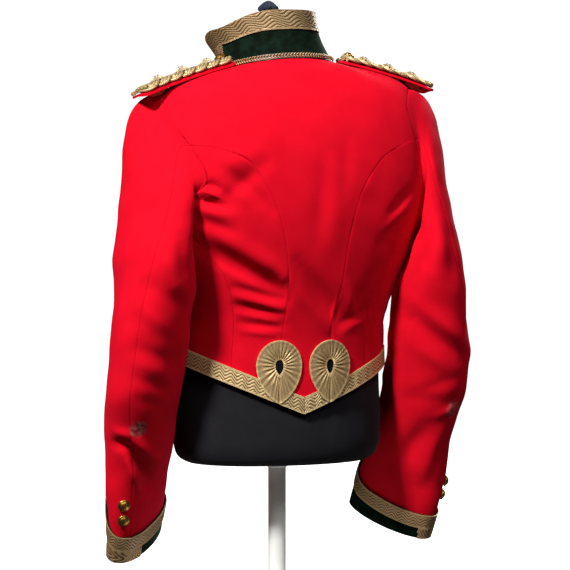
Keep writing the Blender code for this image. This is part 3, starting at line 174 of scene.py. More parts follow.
KNOT_X, KNOT_Y, KNOT_BASE, KNOT_TOP = 0.018, 0.014, 0.8644, 0.8955

# Studio, wear and painted shade
CAMERA_AZIMUTH, CAMERA_DISTANCE, CAMERA_HEIGHT = math.radians(160.0), 2.3, 0.5
CAMERA_LENS, CAMERA_SHIFT, SENSOR = 103.77, 0.01404, 36.0
LAMPS = (                 # name, towards the camera, to its right, height, size, watts
    ("key_lamp", 2.15, -1.45, 2.75, 0.45, 190.0),
    ("side_lamp", 2.0, 1.2, 2.6, 1.1, 36.0),
    ("front_lamp", -2.2, 1.2, 2.0, 1.0, 60.0),
)
AIR_LIGHT, PAPER_GLOW = 0.036, 0.80
ROOM_REACH, ROOM_COVE = 3.6, 1.8
CREASE_DEPTH, SLEEVE_CREASE_DEPTH = 1.7, 1.55     # times the lifts below
RIPPLES, RIPPLE_LENGTHS, RIPPLE_HEIGHT = 7, (0.035, 0.09), 0.00016
BEHIND_FROM, BEHIND_FULL = 0.045, 0.085   # y between the creases of the fronts and the back
# Where creases fade out: levels at the hem and the neck, metres from a seam
HEM_CALM, NECK_CALM, EDGE_CALM = (0.30, 0.75), (8.3, 8.8), (-0.004, 0.006)
WORN_AND_SHADED_PATCHES = (          # side, column and height on the sleeve, reach, edge and heart
    # the left patch's edge and heart colours are darker: painted shade laid over its wear
    ("L", 25.2, 0.312, 0.0135, "#6a2220", "#9a5f58"),
    ("R", 24.7, 0.328, 0.0170, "#b8282e", "#d8686c"),
)

# ---------------------------------------------------------------- small helpers
def smooth_between(t, start, stop, leave, arrive):
    """Cubic from start to stop as t goes from 0 to 1, with its slopes at both ends."""
    return ((2 * t ** 3 - 3 * t ** 2 + 1) * start + (t ** 3 - 2 * t ** 2 + t) * leave
            + (3 * t ** 2 - 2 * t ** 3) * stop + (t ** 3 - t ** 2) * arrive)


def curve_value(table, position, column=1):
    """Read one column of a table at positions, through a smooth curve."""
    keys = np.array([row[0] for row in table], float)
    values = np.array([row[column] for row in table], float)
    position = np.clip(np.asarray(position, float), keys[0], keys[-1])
    index = np.clip(np.searchsorted(keys, position, side="right") - 1, 0, len(keys) - 2)
    high = np.minimum(np.arange(len(keys)) + 1, len(keys) - 1)
    low = np.maximum(np.arange(len(keys)) - 1, 0)
    slopes = (values[high] - values[low]) / (keys[high] - keys[low])
    span = keys[index + 1] - keys[index]
    t = (position - keys[index]) / span
    return smooth_between(t, values[index], values[index + 1], slopes[index] * span,
                          slopes[index + 1] * span)


def smooth_step(value, low, high):
    """Ease from 0 to 1 between low and high."""
    t = np.clip((value - low) / (high - low), 0.0, 1.0)
    return t * t * (3 - 2 * t)


def unit(vectors):
    """Scale vectors to length one."""
    return vectors / np.maximum(np.linalg.norm(vectors, axis=-1, keepdims=True), 1e-12)


def settle(points):
    """Tilt the whole worn garment towards the wearer's left, as it hangs on the form."""
    moved = np.array(points, float)
    moved[..., 2] -= SHOULDER_TILT * moved[..., 0] * smooth_step(moved[..., 2],
                                                                TILT_FROM, TILT_TO)
    return moved


def mirrored(angle, side):
    """Turn left-side angles in degrees into radians on the given side."""
    return np.radians(angle if side == "L" else 180.0 - np.asarray(angle))


def full_turn(count):
    """Evenly spaced angles once round."""
    return 2 * np.pi * np.arange(count) / count


def level_ways(angles):
    """Level unit vectors at angles from +X."""
    return np.stack([np.cos(angles), np.sin(angles), np.zeros_like(angles)], -1)


def side_points(points, side):
    """Put left-side points on the given side."""
    placed = np.array(points, float)
    if side == "R":
        placed[..., 0] *= -1
    return placed


def resample(grid, rows, columns):
    """Smooth points of a coarse closed grid at fractional rows and columns."""
    def weights(places, count, closed):
        base = np.floor(places).astype(int)
        if not closed:
            base = np.clip(base, 0, count - 2)
        t = places - base
        near = base + np.arange(-1, 3)[:, None]
        near = near % count if closed else np.clip(near, 0, count - 1)
        t2, t3 = t * t, t ** 3
        return zip(near, ((-t3 + 2 * t2 - t) / 2, (3 * t3 - 5 * t2 + 2) / 2,
                          (-3 * t3 + 4 * t2 + t) / 2, (t3 - t2) / 2))

    rows, columns = np.asarray(rows, float), np.asarray(columns, float)
    by_row = sum(grid[n] * w[:, None, None] for n, w in weights(rows, grid.shape[0], False))
    return sum(by_row[:, n] * w[None, :, None] for n, w in weights(columns, grid.shape[1], True))


# ---------------------------------------------------------------- torso surface
# Largest folds of the worn back, as the solids have them: x1, z1, x2, z2, width, lift
BACK_FOLDS = (
    (0.146, 0.560, 0.050, 0.492, 0.013, -0.0050),
    (0.150, 0.618, 0.068, 0.530, 0.013, 0.0035),
    (0.135, 0.626, 0.088, 0.604, 0.010, -0.0030),
    (-0.055, 0.659, -0.031, 0.560, 0.016, 0.0025),
    (0.010, 0.520, -0.047, 0.450, 0.014, -0.0025),
    (0.095, 0.464, 0.030, 0.448, 0.009, -0.0022),
)


def fold_lift(across, up, folds):
    """How far soft ridges and troughs move a point out or in."""
    total = np.zeros_like(across)
    for x1, z1, x2, z2, width, lift in folds:
        run_x, run_z = x2 - x1, z2 - z1
        share = ((across - x1) * run_x + (up - z1) * run_z) / (run_x ** 2 + run_z ** 2)
        share = np.clip(share, 0, 1)
        gap = (across - x1 - run_x * share) ** 2 + (up - z1 - run_z * share) ** 2
        total = total + lift * np.exp(-gap / width ** 2) * np.sin(np.pi * (0.15 + 0.7 * share))
    return total


def ring_values(level):
    """All ring columns at a level, on a smooth curve through the ring table."""
    level = np.clip(np.asarray(level, float), 0, TOP_LEVEL)
    low = np.minimum(level.astype(int), len(TORSO_RINGS) - 2)
    t = (level - low)[..., None]
    before = TORSO_RINGS[np.maximum(low - 1, 0)]
    after = TORSO_RINGS[np.minimum(low + 2, len(TORSO_RINGS) - 1)]
    start, stop = TORSO_RINGS[low], TORSO_RINGS[low + 1]
    return smooth_between(t, start, stop, (stop - before) / 2, (after - start) / 2)


def torso(angle, level, folded=True):
    """Point of the jacket's outer surface; angle in radians from +X through the back."""
    angle = np.asarray(angle, float)
    front_z, side_z, back_z, half_width, front_y, side_y, back_y, power, vee = np.moveaxis(
        ring_values(level), -1, 0)
    c, s = np.cos(angle), np.sin(angle)
    x = half_width * np.sign(c) * np.abs(c) ** (2 / power)
    reach = np.abs(s) ** (2 / power)
    y = np.where(s >= 0, side_y + (back_y - side_y) * reach,
                 side_y - (side_y - front_y) * reach)
    pointed = 1 - np.abs(1 - np.mod(angle / (math.pi / 2), 2))
    weight = vee * pointed ** HEM_POINT + (1 - vee) * s ** 2
    z = np.where(s >= 0, side_z + (back_z - side_z) * weight,
                 side_z + (front_z - side_z) * weight)
    if folded:
        y = y + fold_lift(x, z, BACK_FOLDS) * smooth_step(s, 0.0, 0.35)
    return np.stack([x, y, z], -1)


def torso_normal(angle, level):
    """Outward unit normal of the torso surface."""
    step = 0.004
    high, low = np.minimum(level + step, TOP_LEVEL), np.maximum(level - step, 0)
    around = torso(np.add(angle, step), level) - torso(np.subtract(angle, step), level)
    upward = torso(angle, high) - torso(angle, low)
    return unit(np.cross(around, upward))


def metres_round(angle, level):
    """Length on the torso of one radian round it."""
    step = 0.01
    return np.linalg.norm(torso(angle + step, level) - torso(angle - step, level),
                          axis=-1) / (2 * step)


def climb(angles, distance):
    """Levels reached by going up from the hem for a distance at each angle."""
    reached = []
    steps = np.linspace(0, 2.0, 160)
    for angle in np.atleast_1d(angles):
        path = torso(np.full(len(steps), angle), steps)
        run = np.concatenate([[0], np.cumsum(np.linalg.norm(np.diff(path, axis=0), axis=1))])
        reached.append(np.interp(distance, run, steps))
    return np.array(reached)


def find_on_back(x, z):
    """Angles and levels of the torso's back surface at arrays of x and z."""
    angle, level = np.full(x.shape, math.pi / 2), np.full(x.shape, 0.8)
    tiny, share = 1e-4, 0.7        # step of the slopes, share of each correction taken
    for _ in range(30):
        point = torso(angle, level)
        by_angle = (torso(angle + tiny, level) - point) / tiny
        by_level = (torso(angle, level + tiny) - point) / tiny
        off_x, off_z = x - point[..., 0], z - point[..., 2]
        scale = by_angle[..., 0] * by_level[..., 2] - by_level[..., 0] * by_angle[..., 2]
        angle = angle + share * (off_x * by_level[..., 2] - off_z * by_level[..., 0]) / scale
        level = level + share * (off_z * by_angle[..., 0] - off_x * by_angle[..., 2]) / scale
        level = np.clip(level, 0.0, 4.0)
    return angle, level


# ---------------------------------------------------------------- walls from grids
def run_lengths(points, axis):
    """Arc length along one direction of a grid, from its first line."""
    steps = np.linalg.norm(np.diff(points, axis=axis), axis=-1)
    first = np.zeros_like(np.take(steps, [0], axis=axis))
    return np.concatenate([first, np.cumsum(steps, axis=axis)], axis=axis)


def add_mesh(name, verts, faces, finish, uvs=None):
    """Object from points and faces; uvs holds one pair for each vertex, in metres."""
    mesh = bpy.data.meshes.new(name)
    mesh.from_pydata(np.asarray(verts).tolist(), [], faces)
    mesh.materials.append(finish)
    if uvs is not None:
        corner = np.empty(len(mesh.loops), dtype=np.int32)
        mesh.loops.foreach_get("vertex_index", corner)
        layer = mesh.uv_layers.new(name="cut")
        layer.data.foreach_set("uv", np.asarray(uvs, float)[corner].ravel())
    mesh.shade_smooth()
    mesh.set_sharp_from_angle(angle=math.radians(50))
    mesh.update()
    made = bpy.data.objects.new(name, mesh)
    bpy.context.collection.objects.link(made)
    return made


def wall(name, outer, inner, finish, uv=None, mask=None, closed=False, side="L"):
    """Closed wall between two grids of points, with the cut's own lengths as its UV."""
    rows, columns = outer.shape[:2]
    if mask is None:
        mask = np.ones((rows - 1, columns if closed else columns - 1), bool)
    if uv is None:
        uv = np.stack([run_lengths(outer, 1), run_lengths(outer, 0)], -1)
    verts = settle(side_points(np.concatenate([outer, inner]), side)).reshape(-1, 3)
    count = rows * columns
    r, c = np.nonzero(mask)
    after = (c + 1) % columns
    front = np.stack([r * columns + c, r * columns + after,
                      (r + 1) * columns + after, (r + 1) * columns + c], 1)
    edges = np.concatenate([front[:, [k, (k + 1) % 4]] for k in range(4)])
    forward = edges[:, 0] * count + edges[:, 1]
    backward = edges[:, 1] * count + edges[:, 0]
    rim = edges[~np.isin(backward, forward)]
    sides = np.stack([rim[:, 1], rim[:, 0], rim[:, 0] + count, rim[:, 1] + count], 1)
    used, faces = np.unique(np.concatenate([front, front[:, ::-1] + count, sides]),
                            return_inverse=True)
    verts, faces = verts[used], faces.reshape(-1, 4)
    corner, back = verts[faces[:len(front)]], verts[faces[len(front):2 * len(front)]]
    facing = np.cross(corner[:, 2] - corner[:, 0], corner[:, 3] - corner[:, 1])
    if np.sum(facing * (corner - back).mean(axis=1)) < 0:
        faces = faces[:, ::-1]
    uvs = np.concatenate([uv, uv]).reshape(-1, 2)[used]
    return add_mesh(name, verts, faces.tolist(), finish, uvs)


def loft(name, rings, finish, uvs=None):
    """Closed skin through rings of points, each end drawn in to its own middle point."""
    def with_ends(grid):
        return np.concatenate([grid.reshape(-1, grid.shape[-1]), grid[:1].mean(axis=1),
                               grid[-1:].mean(axis=1)])

    rows, columns = rings.shape[:2]
    count = rows * columns
    c = np.arange(columns)
    after = (c + 1) % columns
    faces = []
    for low in range(0, count - columns, columns):
        high = low + columns
        faces += np.stack([low + c, low + after, high + after, high + c], 1).tolist()
    faces += np.stack([after, c, np.full(columns, count)], 1).tolist()
    last = count - columns
    faces += np.stack([last + c, last + after, np.full(columns, count + 1)], 1).tolist()
    uvs = None if uvs is None else with_ends(uvs)
    return face_outward(add_mesh(name, with_ends(rings), faces, finish, uvs))


def face_outward(piece):
    """Turn every face of a closed piece outward."""
    work = bmesh.new()
    work.from_mesh(piece.data)
    bmesh.ops.recalc_face_normals(work, faces=work.faces)
    work.to_mesh(piece.data)
    work.free()
    return piece


def join(piece, other):
    """Add another object's mesh to a piece, with its finish."""
    bpy.ops.object.select_all(action="DESELECT")
    piece.select_set(True)
    other.select_set(True)
    bpy.context.view_layer.objects.active = piece
    bpy.ops.object.join()


def declare(piece, node):
    """Let a piece stand in for its CAD node, which is hidden, and ride on the one body."""
    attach(piece, "root")
    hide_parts(node)


def cut_sheet(outer):
    """Work out the flat size that a cloth piece was cut to; nothing is kept."""
    across = float(run_lengths(outer, 1)[:, -1].max())
    along = float(run_lengths(outer, 0)[-1].max())
    a, b = outer[1:, 1:] - outer[:-1, :-1], outer[1:, :-1] - outer[:-1, 1:]
    area = float(np.linalg.norm(np.cross(a, b), axis=-1).sum() / 2)
    area = min(max(area, 0.31 * across * along), across * along)


def spaced(low, high, length):
    """Shares from low to high, closer together at both ends where a seam is turned in."""
    count = max(int(length / STEP), 4)
    inside = np.linspace(0, 1, count + 1)[1:-1]
    ease = min(TURNED_IN / length, 0.2)
    turned = np.array([0, ease, 2.2 * ease])
    inside = inside[(inside > 3 * ease) & (inside < 1 - 3 * ease)]
    return low + (high - low) * np.concatenate([turned, inside, 1 - turned[::-1]])


# ---------------------------------------------------------------- creases placed one by one
# Body cloth, in the x-z plane of the back: x1, z1, x2, z2, width, lift
BACK_CREASES = (
    (0.1500, 0.6420, 0.1290, 0.6300, 0.0058, -0.0034),      # pinched under the left arm
    (0.1500, 0.6290, 0.1180, 0.6140, 0.0068, 0.0028),
    (0.1520, 0.6170, 0.1220, 0.6060, 0.0056, -0.0034),
    (0.1500, 0.6040, 0.1120, 0.5900, 0.0080, 0.0024),
    (0.1460, 0.5880, 0.1080, 0.5700, 0.0070, -0.0016),
    (0.1180, 0.6560, 0.0620, 0.6000, 0.0100, -0.0030),      # soft hollow on the blade
    (0.1260, 0.6380, 0.0760, 0.5960, 0.0110, 0.0016),
    (0.1360, 0.5740, 0.0400, 0.5120, 0.0110, 0.0030),       # long pull across to the waist
    (0.1320, 0.5480, 0.0340, 0.4900, 0.0120, -0.0036),
    (0.1180, 0.5240, 0.0500, 0.4880, 0.0070, 0.0016),
    (0.1000, 0.4980, 0.0300, 0.4780, 0.0055, -0.0018),      # short folds above the waist
    (0.0970, 0.4860, 0.0380, 0.4690, 0.0048, 0.0016),
    (0.0980, 0.4740, 0.0320, 0.4600, 0.0045, -0.0017),
    (0.0920, 0.4620, 0.0420, 0.4520, 0.0042, 0.0014),
    (0.0900, 0.4500, 0.0340, 0.4430, 0.0042, -0.0014),
    (0.0840, 0.4380, 0.0440, 0.4340, 0.0040, 0.0010),
    (0.0700, 0.6600, 0.1300, 0.6080, 0.0110, -0.0022),      # hollow below the blade
    (0.0850, 0.6750, 0.1380, 0.6480, 0.0140, 0.0018),
    (-0.0140, 0.6700, -0.0060, 0.5600, 0.0120, -0.0011),    # soft drops beside the spine
    (-0.0290, 0.6650, -0.0240, 0.5700, 0.0120, 0.0008),
    (-0.0470, 0.6900, -0.0430, 0.5800, 0.0120, -0.0009),
    (0.0180, 0.5300, -0.0500, 0.4500, 0.0120, -0.0027),
    (0.0340, 0.5080, -0.0300, 0.4420, 0.0090, 0.0015),
    (-0.0560, 0.5000, -0.0750, 0.4500, 0.0080, 0.0014),
    (-0.0900, 0.5100, -0.0650, 0.4600, 0.0070, -0.0014),
    (-0.1000, 0.4700, -0.0550, 0.4500, 0.0060, -0.0012),
    (-0.0980, 0.4550, -0.0580, 0.4380, 0.0055, 0.0010),
    (-0.1520, 0.6250, -0.1180, 0.5950, 0.0070, -0.0022),    # under the right arm
    (-0.1500, 0.6100, -0.1120, 0.5760, 0.0070, 0.0018),
    (-0.1420, 0.5900, -0.1050, 0.5560, 0.0075, -0.0016),
)
# Fronts and flanks: side angle in radians, z, angle, z, width, lift
FRONT_CREASES = (
    (-0.35, 0.600, -0.95, 0.545, 0.0105, -0.0022),
    (-0.40, 0.580, -0.90, 0.515, 0.0112, 0.0016),
    (-0.30, 0.560, -0.80, 0.480, 0.0105, -0.0018),
    (-0.10, 0.520, -0.70, 0.455, 0.0098, 0.0014),
    (-0.05, 0.480, -0.60, 0.440, 0.0077, -0.0015),
    (0.30, 0.500, -0.30, 0.470, 0.007, -0.0016),
    (0.35, 0.470, -0.20, 0.450, 0.0063, 0.0013),
    (0.40, 0.450, -0.25, 0.436, 0.0056, -0.0012),
    (-0.80, 0.700, -1.00, 0.620, 0.014, 0.0016),
    (-0.60, 0.720, -0.75, 0.640, 0.01225, -0.0014),
)
FRONT_CREASE_SPREAD = 0.15      # metres of cloth to a radian of the body
# Sleeves: column from the hindarm seam, height, column, height, width, lift
SLEEVE_PITCH = 0.0115           # metres between two columns of the sleeve
SLEEVE_CREASES = {
    "L": (
        (26.3, 0.286, 23.6, 0.236, 0.0065, -0.0060),        # sharp fold above the buttons
        (26.0, 0.302, 23.2, 0.262, 0.0080, 0.0040),
        (25.2, 0.238, 23.4, 0.222, 0.0090, -0.0034),
        (26.6, 0.266, 25.2, 0.226, 0.0055, 0.0036),
        (2.6, 0.292, 0.3, 0.284, 0.0065, -0.0040),
        (2.2, 0.308, 0.2, 0.304, 0.0060, 0.0022),
        (25.7, 0.418, 22.8, 0.402, 0.0085, -0.0016),        # ripples at the elbow
        (25.5, 0.398, 22.4, 0.382, 0.0085, 0.0014),
        (25.3, 0.378, 22.1, 0.360, 0.0080, -0.0016),
        (24.9, 0.352, 22.6, 0.338, 0.0080, -0.0013),
        (25.9, 0.470, 23.0, 0.440, 0.0090, 0.0018),
        (25.9, 0.500, 21.8, 0.470, 0.0110, -0.0024),
        (26.2, 0.556, 23.4, 0.505, 0.0120, 0.0022),
        (24.2, 0.560, 21.8, 0.510, 0.0110, -0.0026),
        (3.2, 0.600, 2.9, 0.400, 0.0060, 0.0007),           # pressed line down the outside
        (5.5, 0.640, 4.5, 0.480, 0.0180, -0.0018),
        (9.0, 0.420, 12.5, 0.400, 0.0080, -0.0026),
        (9.5, 0.395, 13.0, 0.372, 0.0080, 0.0022),
        (8.5, 0.370, 12.0, 0.345, 0.0080, -0.0024),
        (14.5, 0.440, 17.5, 0.400, 0.0080, -0.0026),
        (10.0, 0.600, 13.5, 0.560, 0.0120, -0.0022),
        (9.0, 0.640, 12.5, 0.610, 0.0110, 0.0020),
    ),
    "R": (
        (20.4, 0.452, 24.4, 0.398, 0.0100, -0.0036),        # broad fold out to the elbow
        (20.8, 0.474, 24.6, 0.424, 0.0100, 0.0024),
        (20.0, 0.420, 23.2, 0.380, 0.0095, 0.0018),
        (23.6, 0.372, 20.6, 0.352, 0.0090, -0.0014),
        (22.8, 0.336, 20.0, 0.344, 0.0090, -0.0010),
        (24.6, 0.330, 23.0, 0.318, 0.0070, 0.0022),
        (21.8, 0.300, 20.6, 0.250, 0.0110, -0.0030),
        (23.6, 0.290, 22.6, 0.225, 0.0100, 0.0022),
        (22.5, 0.560, 20.5, 0.500, 0.0120, -0.0030),
        (24.4, 0.580, 22.6, 0.520, 0.0120, 0.0026),
        (25.9, 0.560, 24.8, 0.505, 0.0110, -0.0020),
        (2.4, 0.480, 0.6, 0.430, 0.0120, -0.0020),
        (2.6, 0.420, 0.2, 0.395, 0.0100, 0.0020),
        (9.0, 0.420, 12.5, 0.398, 0.0080, -0.0026),
        (9.5, 0.392, 13.0, 0.368, 0.0080, 0.0022),
        (8.5, 0.366, 12.0, 0.340, 0.0080, -0.0024),
        (14.5, 0.445, 17.5, 0.405, 0.0080, -0.0026),
        (10.0, 0.600, 13.5, 0.560, 0.0120, -0.0022),
        (5.5, 0.640, 4.5, 0.480, 0.0180, -0.0016),
    ),
}


def seam_tuck(distance):
    """How far cloth dips beside a seam, by its distance from the seam."""
    return -TUCK_DEPTH * np.exp(-(distance / TUCK_REACH) ** 2)


def ripple(across, up, seed):
    """Slight unevenness of worn cloth from a few long waves."""
    draw = np.random.default_rng(seed)
    total = np.zeros_like(across)
    for _ in range(RIPPLES):
        turn, phase = draw.uniform(0, math.pi), draw.uniform(0, 2 * math.pi)
        length = draw.uniform(*RIPPLE_LENGTHS)
        total = total + np.sin((across * math.cos(turn) + up * math.sin(turn))
                               * 2 * math.pi / length + phase)
    return total * RIPPLE_HEIGHT


# ---------------------------------------------------------------- body panels
def armhole_step(level):
    """Share of the armhole's climb at a level."""
    share = np.clip((level - ARMHOLE_LOW) / (ARMHOLE_HIGH - ARMHOLE_LOW), 0, 1)
    return np.arccos(1 - 2 * share) / math.pi


def armhole_level(step):
    """Level of the armhole at a share of its climb."""
    return ARMHOLE_LOW + (ARMHOLE_HIGH - ARMHOLE_LOW) * (1 - np.cos(np.pi * step)) / 2


def armhole_angle(step, side, behind):
    """Side angle in degrees of the armhole's back or front edge."""
    own = 1 if side == "L" else 2
    if behind:
        return curve_value(ARMHOLE, step, own)
    top = ARMHOLE[-1][own]
    table = ARMHOLE[:-1] + ((1.0, top, top, top),)
    return curve_value(table, step, 3)


def shoulder_seam(level, side):
    """Side angle in degrees of the shoulder seam, armhole to neck."""
    start = ARMHOLE[-1][1 if side == "L" else 2]
    share = (level - ARMHOLE_HIGH) / (TOP_LEVEL - ARMHOLE_HIGH)
    return start + (SHOULDER_SEAM_AT_NECK - start) * share


def seam_shift(angle, level, side, towards):
    """Move an edge by half a seam gap; towards is +1 to larger side angles."""
    return angle + towards * np.degrees(SEAM / 2 / metres_round(mirrored(angle, side), level))


def fine_levels(low, high):
    """Levels of a panel's rows, about one step apart up its back."""
    steps = np.linspace(low, high, 900)
    path = torso(np.full(len(steps), math.radians(70)), steps)
    run = run_lengths(path[:, None], 0)[:, 0]
    return np.interp(spaced(0, run[-1], run[-1]), run, steps)


def tip_levels(levels):
    """Levels with more rows where the back seams run almost level."""
    low, high = TIP_FROM, float(armhole_level(0.5))
    dense = np.arange(low, high, 0.004)
    kept = levels[(levels < low - 0.002) | (levels > high + 0.002)]
    return np.unique(np.concatenate([kept, dense, [high]]))


def body_cloth(panel, side, levels, low, high, finish, suffix=""):
    """Panel between two edges in side angles, with creases and seams turned in."""
    width, seed = PANELS[panel]
    shares = spaced(0.0, 1.0, width)
    a, b = mirrored(low, side), mirrored(high, side)
    angles = a[:, None] + (b - a)[:, None] * shares[None, :]
    grid_levels = np.repeat(levels[:, None], len(shares), 1)
    flat = torso(angles, grid_levels)
    normal = torso_normal(angles, grid_levels)
    run = run_lengths(flat, 1)
    distance = np.minimum(run, run[:, -1:] - run)
    if panel == "front":
        distance = run[:, -1:] - run
    behind = smooth_step(flat[..., 1], BEHIND_FROM, BEHIND_FULL)
    lift = fold_lift(flat[..., 0], flat[..., 2], BACK_CREASES) * behind * CREASE_DEPTH
    flank = np.where(flat[..., 0] >= 0, angles, math.pi - angles) * FRONT_CREASE_SPREAD
    folds = [(a1 * FRONT_CREASE_SPREAD, z1, a2 * FRONT_CREASE_SPREAD, z2, w, h)
             for a1, z1, a2, z2, w, h in FRONT_CREASES]
    lift = lift + fold_lift(flank, flat[..., 2], folds) * (1 - behind)
    lift = lift + ripple(flat[..., 0] + flat[..., 1], flat[..., 2], seed)
    calm = smooth_step(grid_levels, *HEM_CALM) * (1 - smooth_step(grid_levels, *NECK_CALM))
    lift = lift * calm * smooth_step(distance, *EDGE_CALM) + seam_tuck(distance)
    outer = flat + normal * lift[..., None]
    piece = wall(panel + "_cloth" + suffix, outer, outer - normal * CLOTH, finish)
    cut_sheet(outer)
    declare(piece, panel + suffix)


def back_edge(levels, side):
    """Side angle of the back panel's edge: back seam, armhole, then shoulder seam."""
    seam = curve_value(BACK_SEAM, levels, 1 if side == "L" else 2)
    hole = armhole_angle(armhole_step(levels), side, True)
    edge = np.where(levels < armhole_level(0.5), seam, hole)
    edge = np.where(levels > ARMHOLE_HIGH, shoulder_seam(levels, side), edge)
    return seam_shift(edge, levels, side, +1)


def make_back(finish):
    """The one-piece back, pointed at the hem."""
    levels = tip_levels(fine_levels(0.0, TOP_LEVEL))
    left = back_edge(levels, "L")
    right = 180.0 - back_edge(levels, "R")
    body_cloth("back", "L", levels, left, right, finish)


def make_side_body(side, finish):
    """The side body between the side seam and the back seam, up to the armhole."""
    top = float(armhole_level(0.499))
    levels = tip_levels(fine_levels(0.0, top))
    levels = levels[levels <= top]
    hole = armhole_angle(armhole_step(levels), side, True)
    low = np.where(levels < ARMHOLE_LOW, curve_value(SIDE_SEAM, levels), hole)
    high = curve_value(BACK_SEAM, levels, 1 if side == "L" else 2)
    low = seam_shift(low, levels, side, +1)
    high = np.maximum(seam_shift(high, levels, side, -1), low + 0.12)
    body_cloth("side_body", side, levels, low, high, finish, "_" + side)


def make_front(side, finish):
    """A front, cut away to hang open, from hem to shoulder."""
    levels = fine_levels(0.0, TOP_LEVEL)
    high = curve_value(SIDE_SEAM, levels)
    hole = armhole_angle(armhole_step(levels), side, False)
    high = np.where(levels >= ARMHOLE_LOW, hole, high)
    high = np.where(levels > ARMHOLE_HIGH, shoulder_seam(levels, side), high)
    high = seam_shift(high, levels, side, -1)
    low = curve_value(FRONT_EDGE, levels)
    body_cloth("front", side, levels, low, high, finish, "_" + side)


# ---------------------------------------------------------------- sleeves
def armhole_loop(side):
    """Armhole angles and levels from the hindarm seam over the shoulder and round again."""
    steps = list(ARMHOLE_STEPS)
    places = [(s, True) for s in steps if s >= 0.5]
    places += [(s, False) for s in reversed(steps[1:-1])]
    places += [(s, True) for s in steps if s < 0.5]
    angles = [math.radians(float(armhole_angle(s, side, b))) for s, b in places]
    levels = [float(armhole_level(s)) for s, _ in places]
    return np.array(angles), np.array(levels)


def section_ring(z, side):
    """Points round one sleeve section, in the same order as the armhole loop."""
    table = [(-row[0],) + row[1:] for row in SLEEVE_SECTIONS]
    row = [float(curve_value(table, -z, column)) for column in range(1, 9)]
    x, y, wide, narrow, turn, fall, seam_left, seam_right = row
    seam = seam_left if side == "L" else seam_right
    top = seam - TOP_SLEEVE_SWEEP * np.arange(TOP_SLEEVE_COLUMNS) / TOP_SLEEVE_COLUMNS
    under = (seam - TOP_SLEEVE_SWEEP - (360.0 - TOP_SLEEVE_SWEEP)
             * np.arange(UNDER_SLEEVE_COLUMNS) / UNDER_SLEEVE_COLUMNS)
    angle = np.radians(np.concatenate([top, under]))
    along = np.array([math.cos(math.radians(turn)), math.sin(math.radians(turn))])
    across = np.array([-along[1], along[0]])
    flat = np.outer(wide * np.cos(angle), along) + np.outer(narrow * np.sin(angle), across)
    share = (SLEEVE_SECTIONS[0][0] - z) / (SLEEVE_SECTIONS[0][0] - SLEEVE_SECTIONS[-1][0])
    rise = z - fall * flat[:, 1] + SLEEVE_HANG[side] * share
    return np.stack([x + flat[:, 0], y + flat[:, 1], rise], -1)


def keep_off_body(points):
    """Press the sleeve flat where it would enter the body's side."""
    rows = ring_values(np.linspace(0, FLANK_TOP, 200))
    found = np.stack([np.interp(points[..., 2], rows[:, 1], rows[:, i]) for i in range(8)], -1)
    half_width, front_y, side_y, back_y, power = (found[..., i] for i in range(3, 8))
    depth = np.where(points[..., 1] > side_y, back_y - side_y, side_y - front_y)
    share = np.clip(np.abs(points[..., 1] - side_y) / (depth + BODY_CLEARANCE), 0, 1)
    limit = (half_width + BODY_CLEARANCE) * (1 - share ** power) ** (1 / power)
    limit = limit + BODY_CLEARANCE * (1 - share)
    spread = points[..., 0] - limit
    pressed = limit + (spread + np.sqrt(spread ** 2 + PRESS_SOFTNESS ** 2)) / 2
    beside = smooth_step(points[..., 2], PRESS_FROM, PRESS_FULL)
    pushed = points.copy()
    pushed[..., 0] += (pressed - pushed[..., 0]) * beside
    return pushed


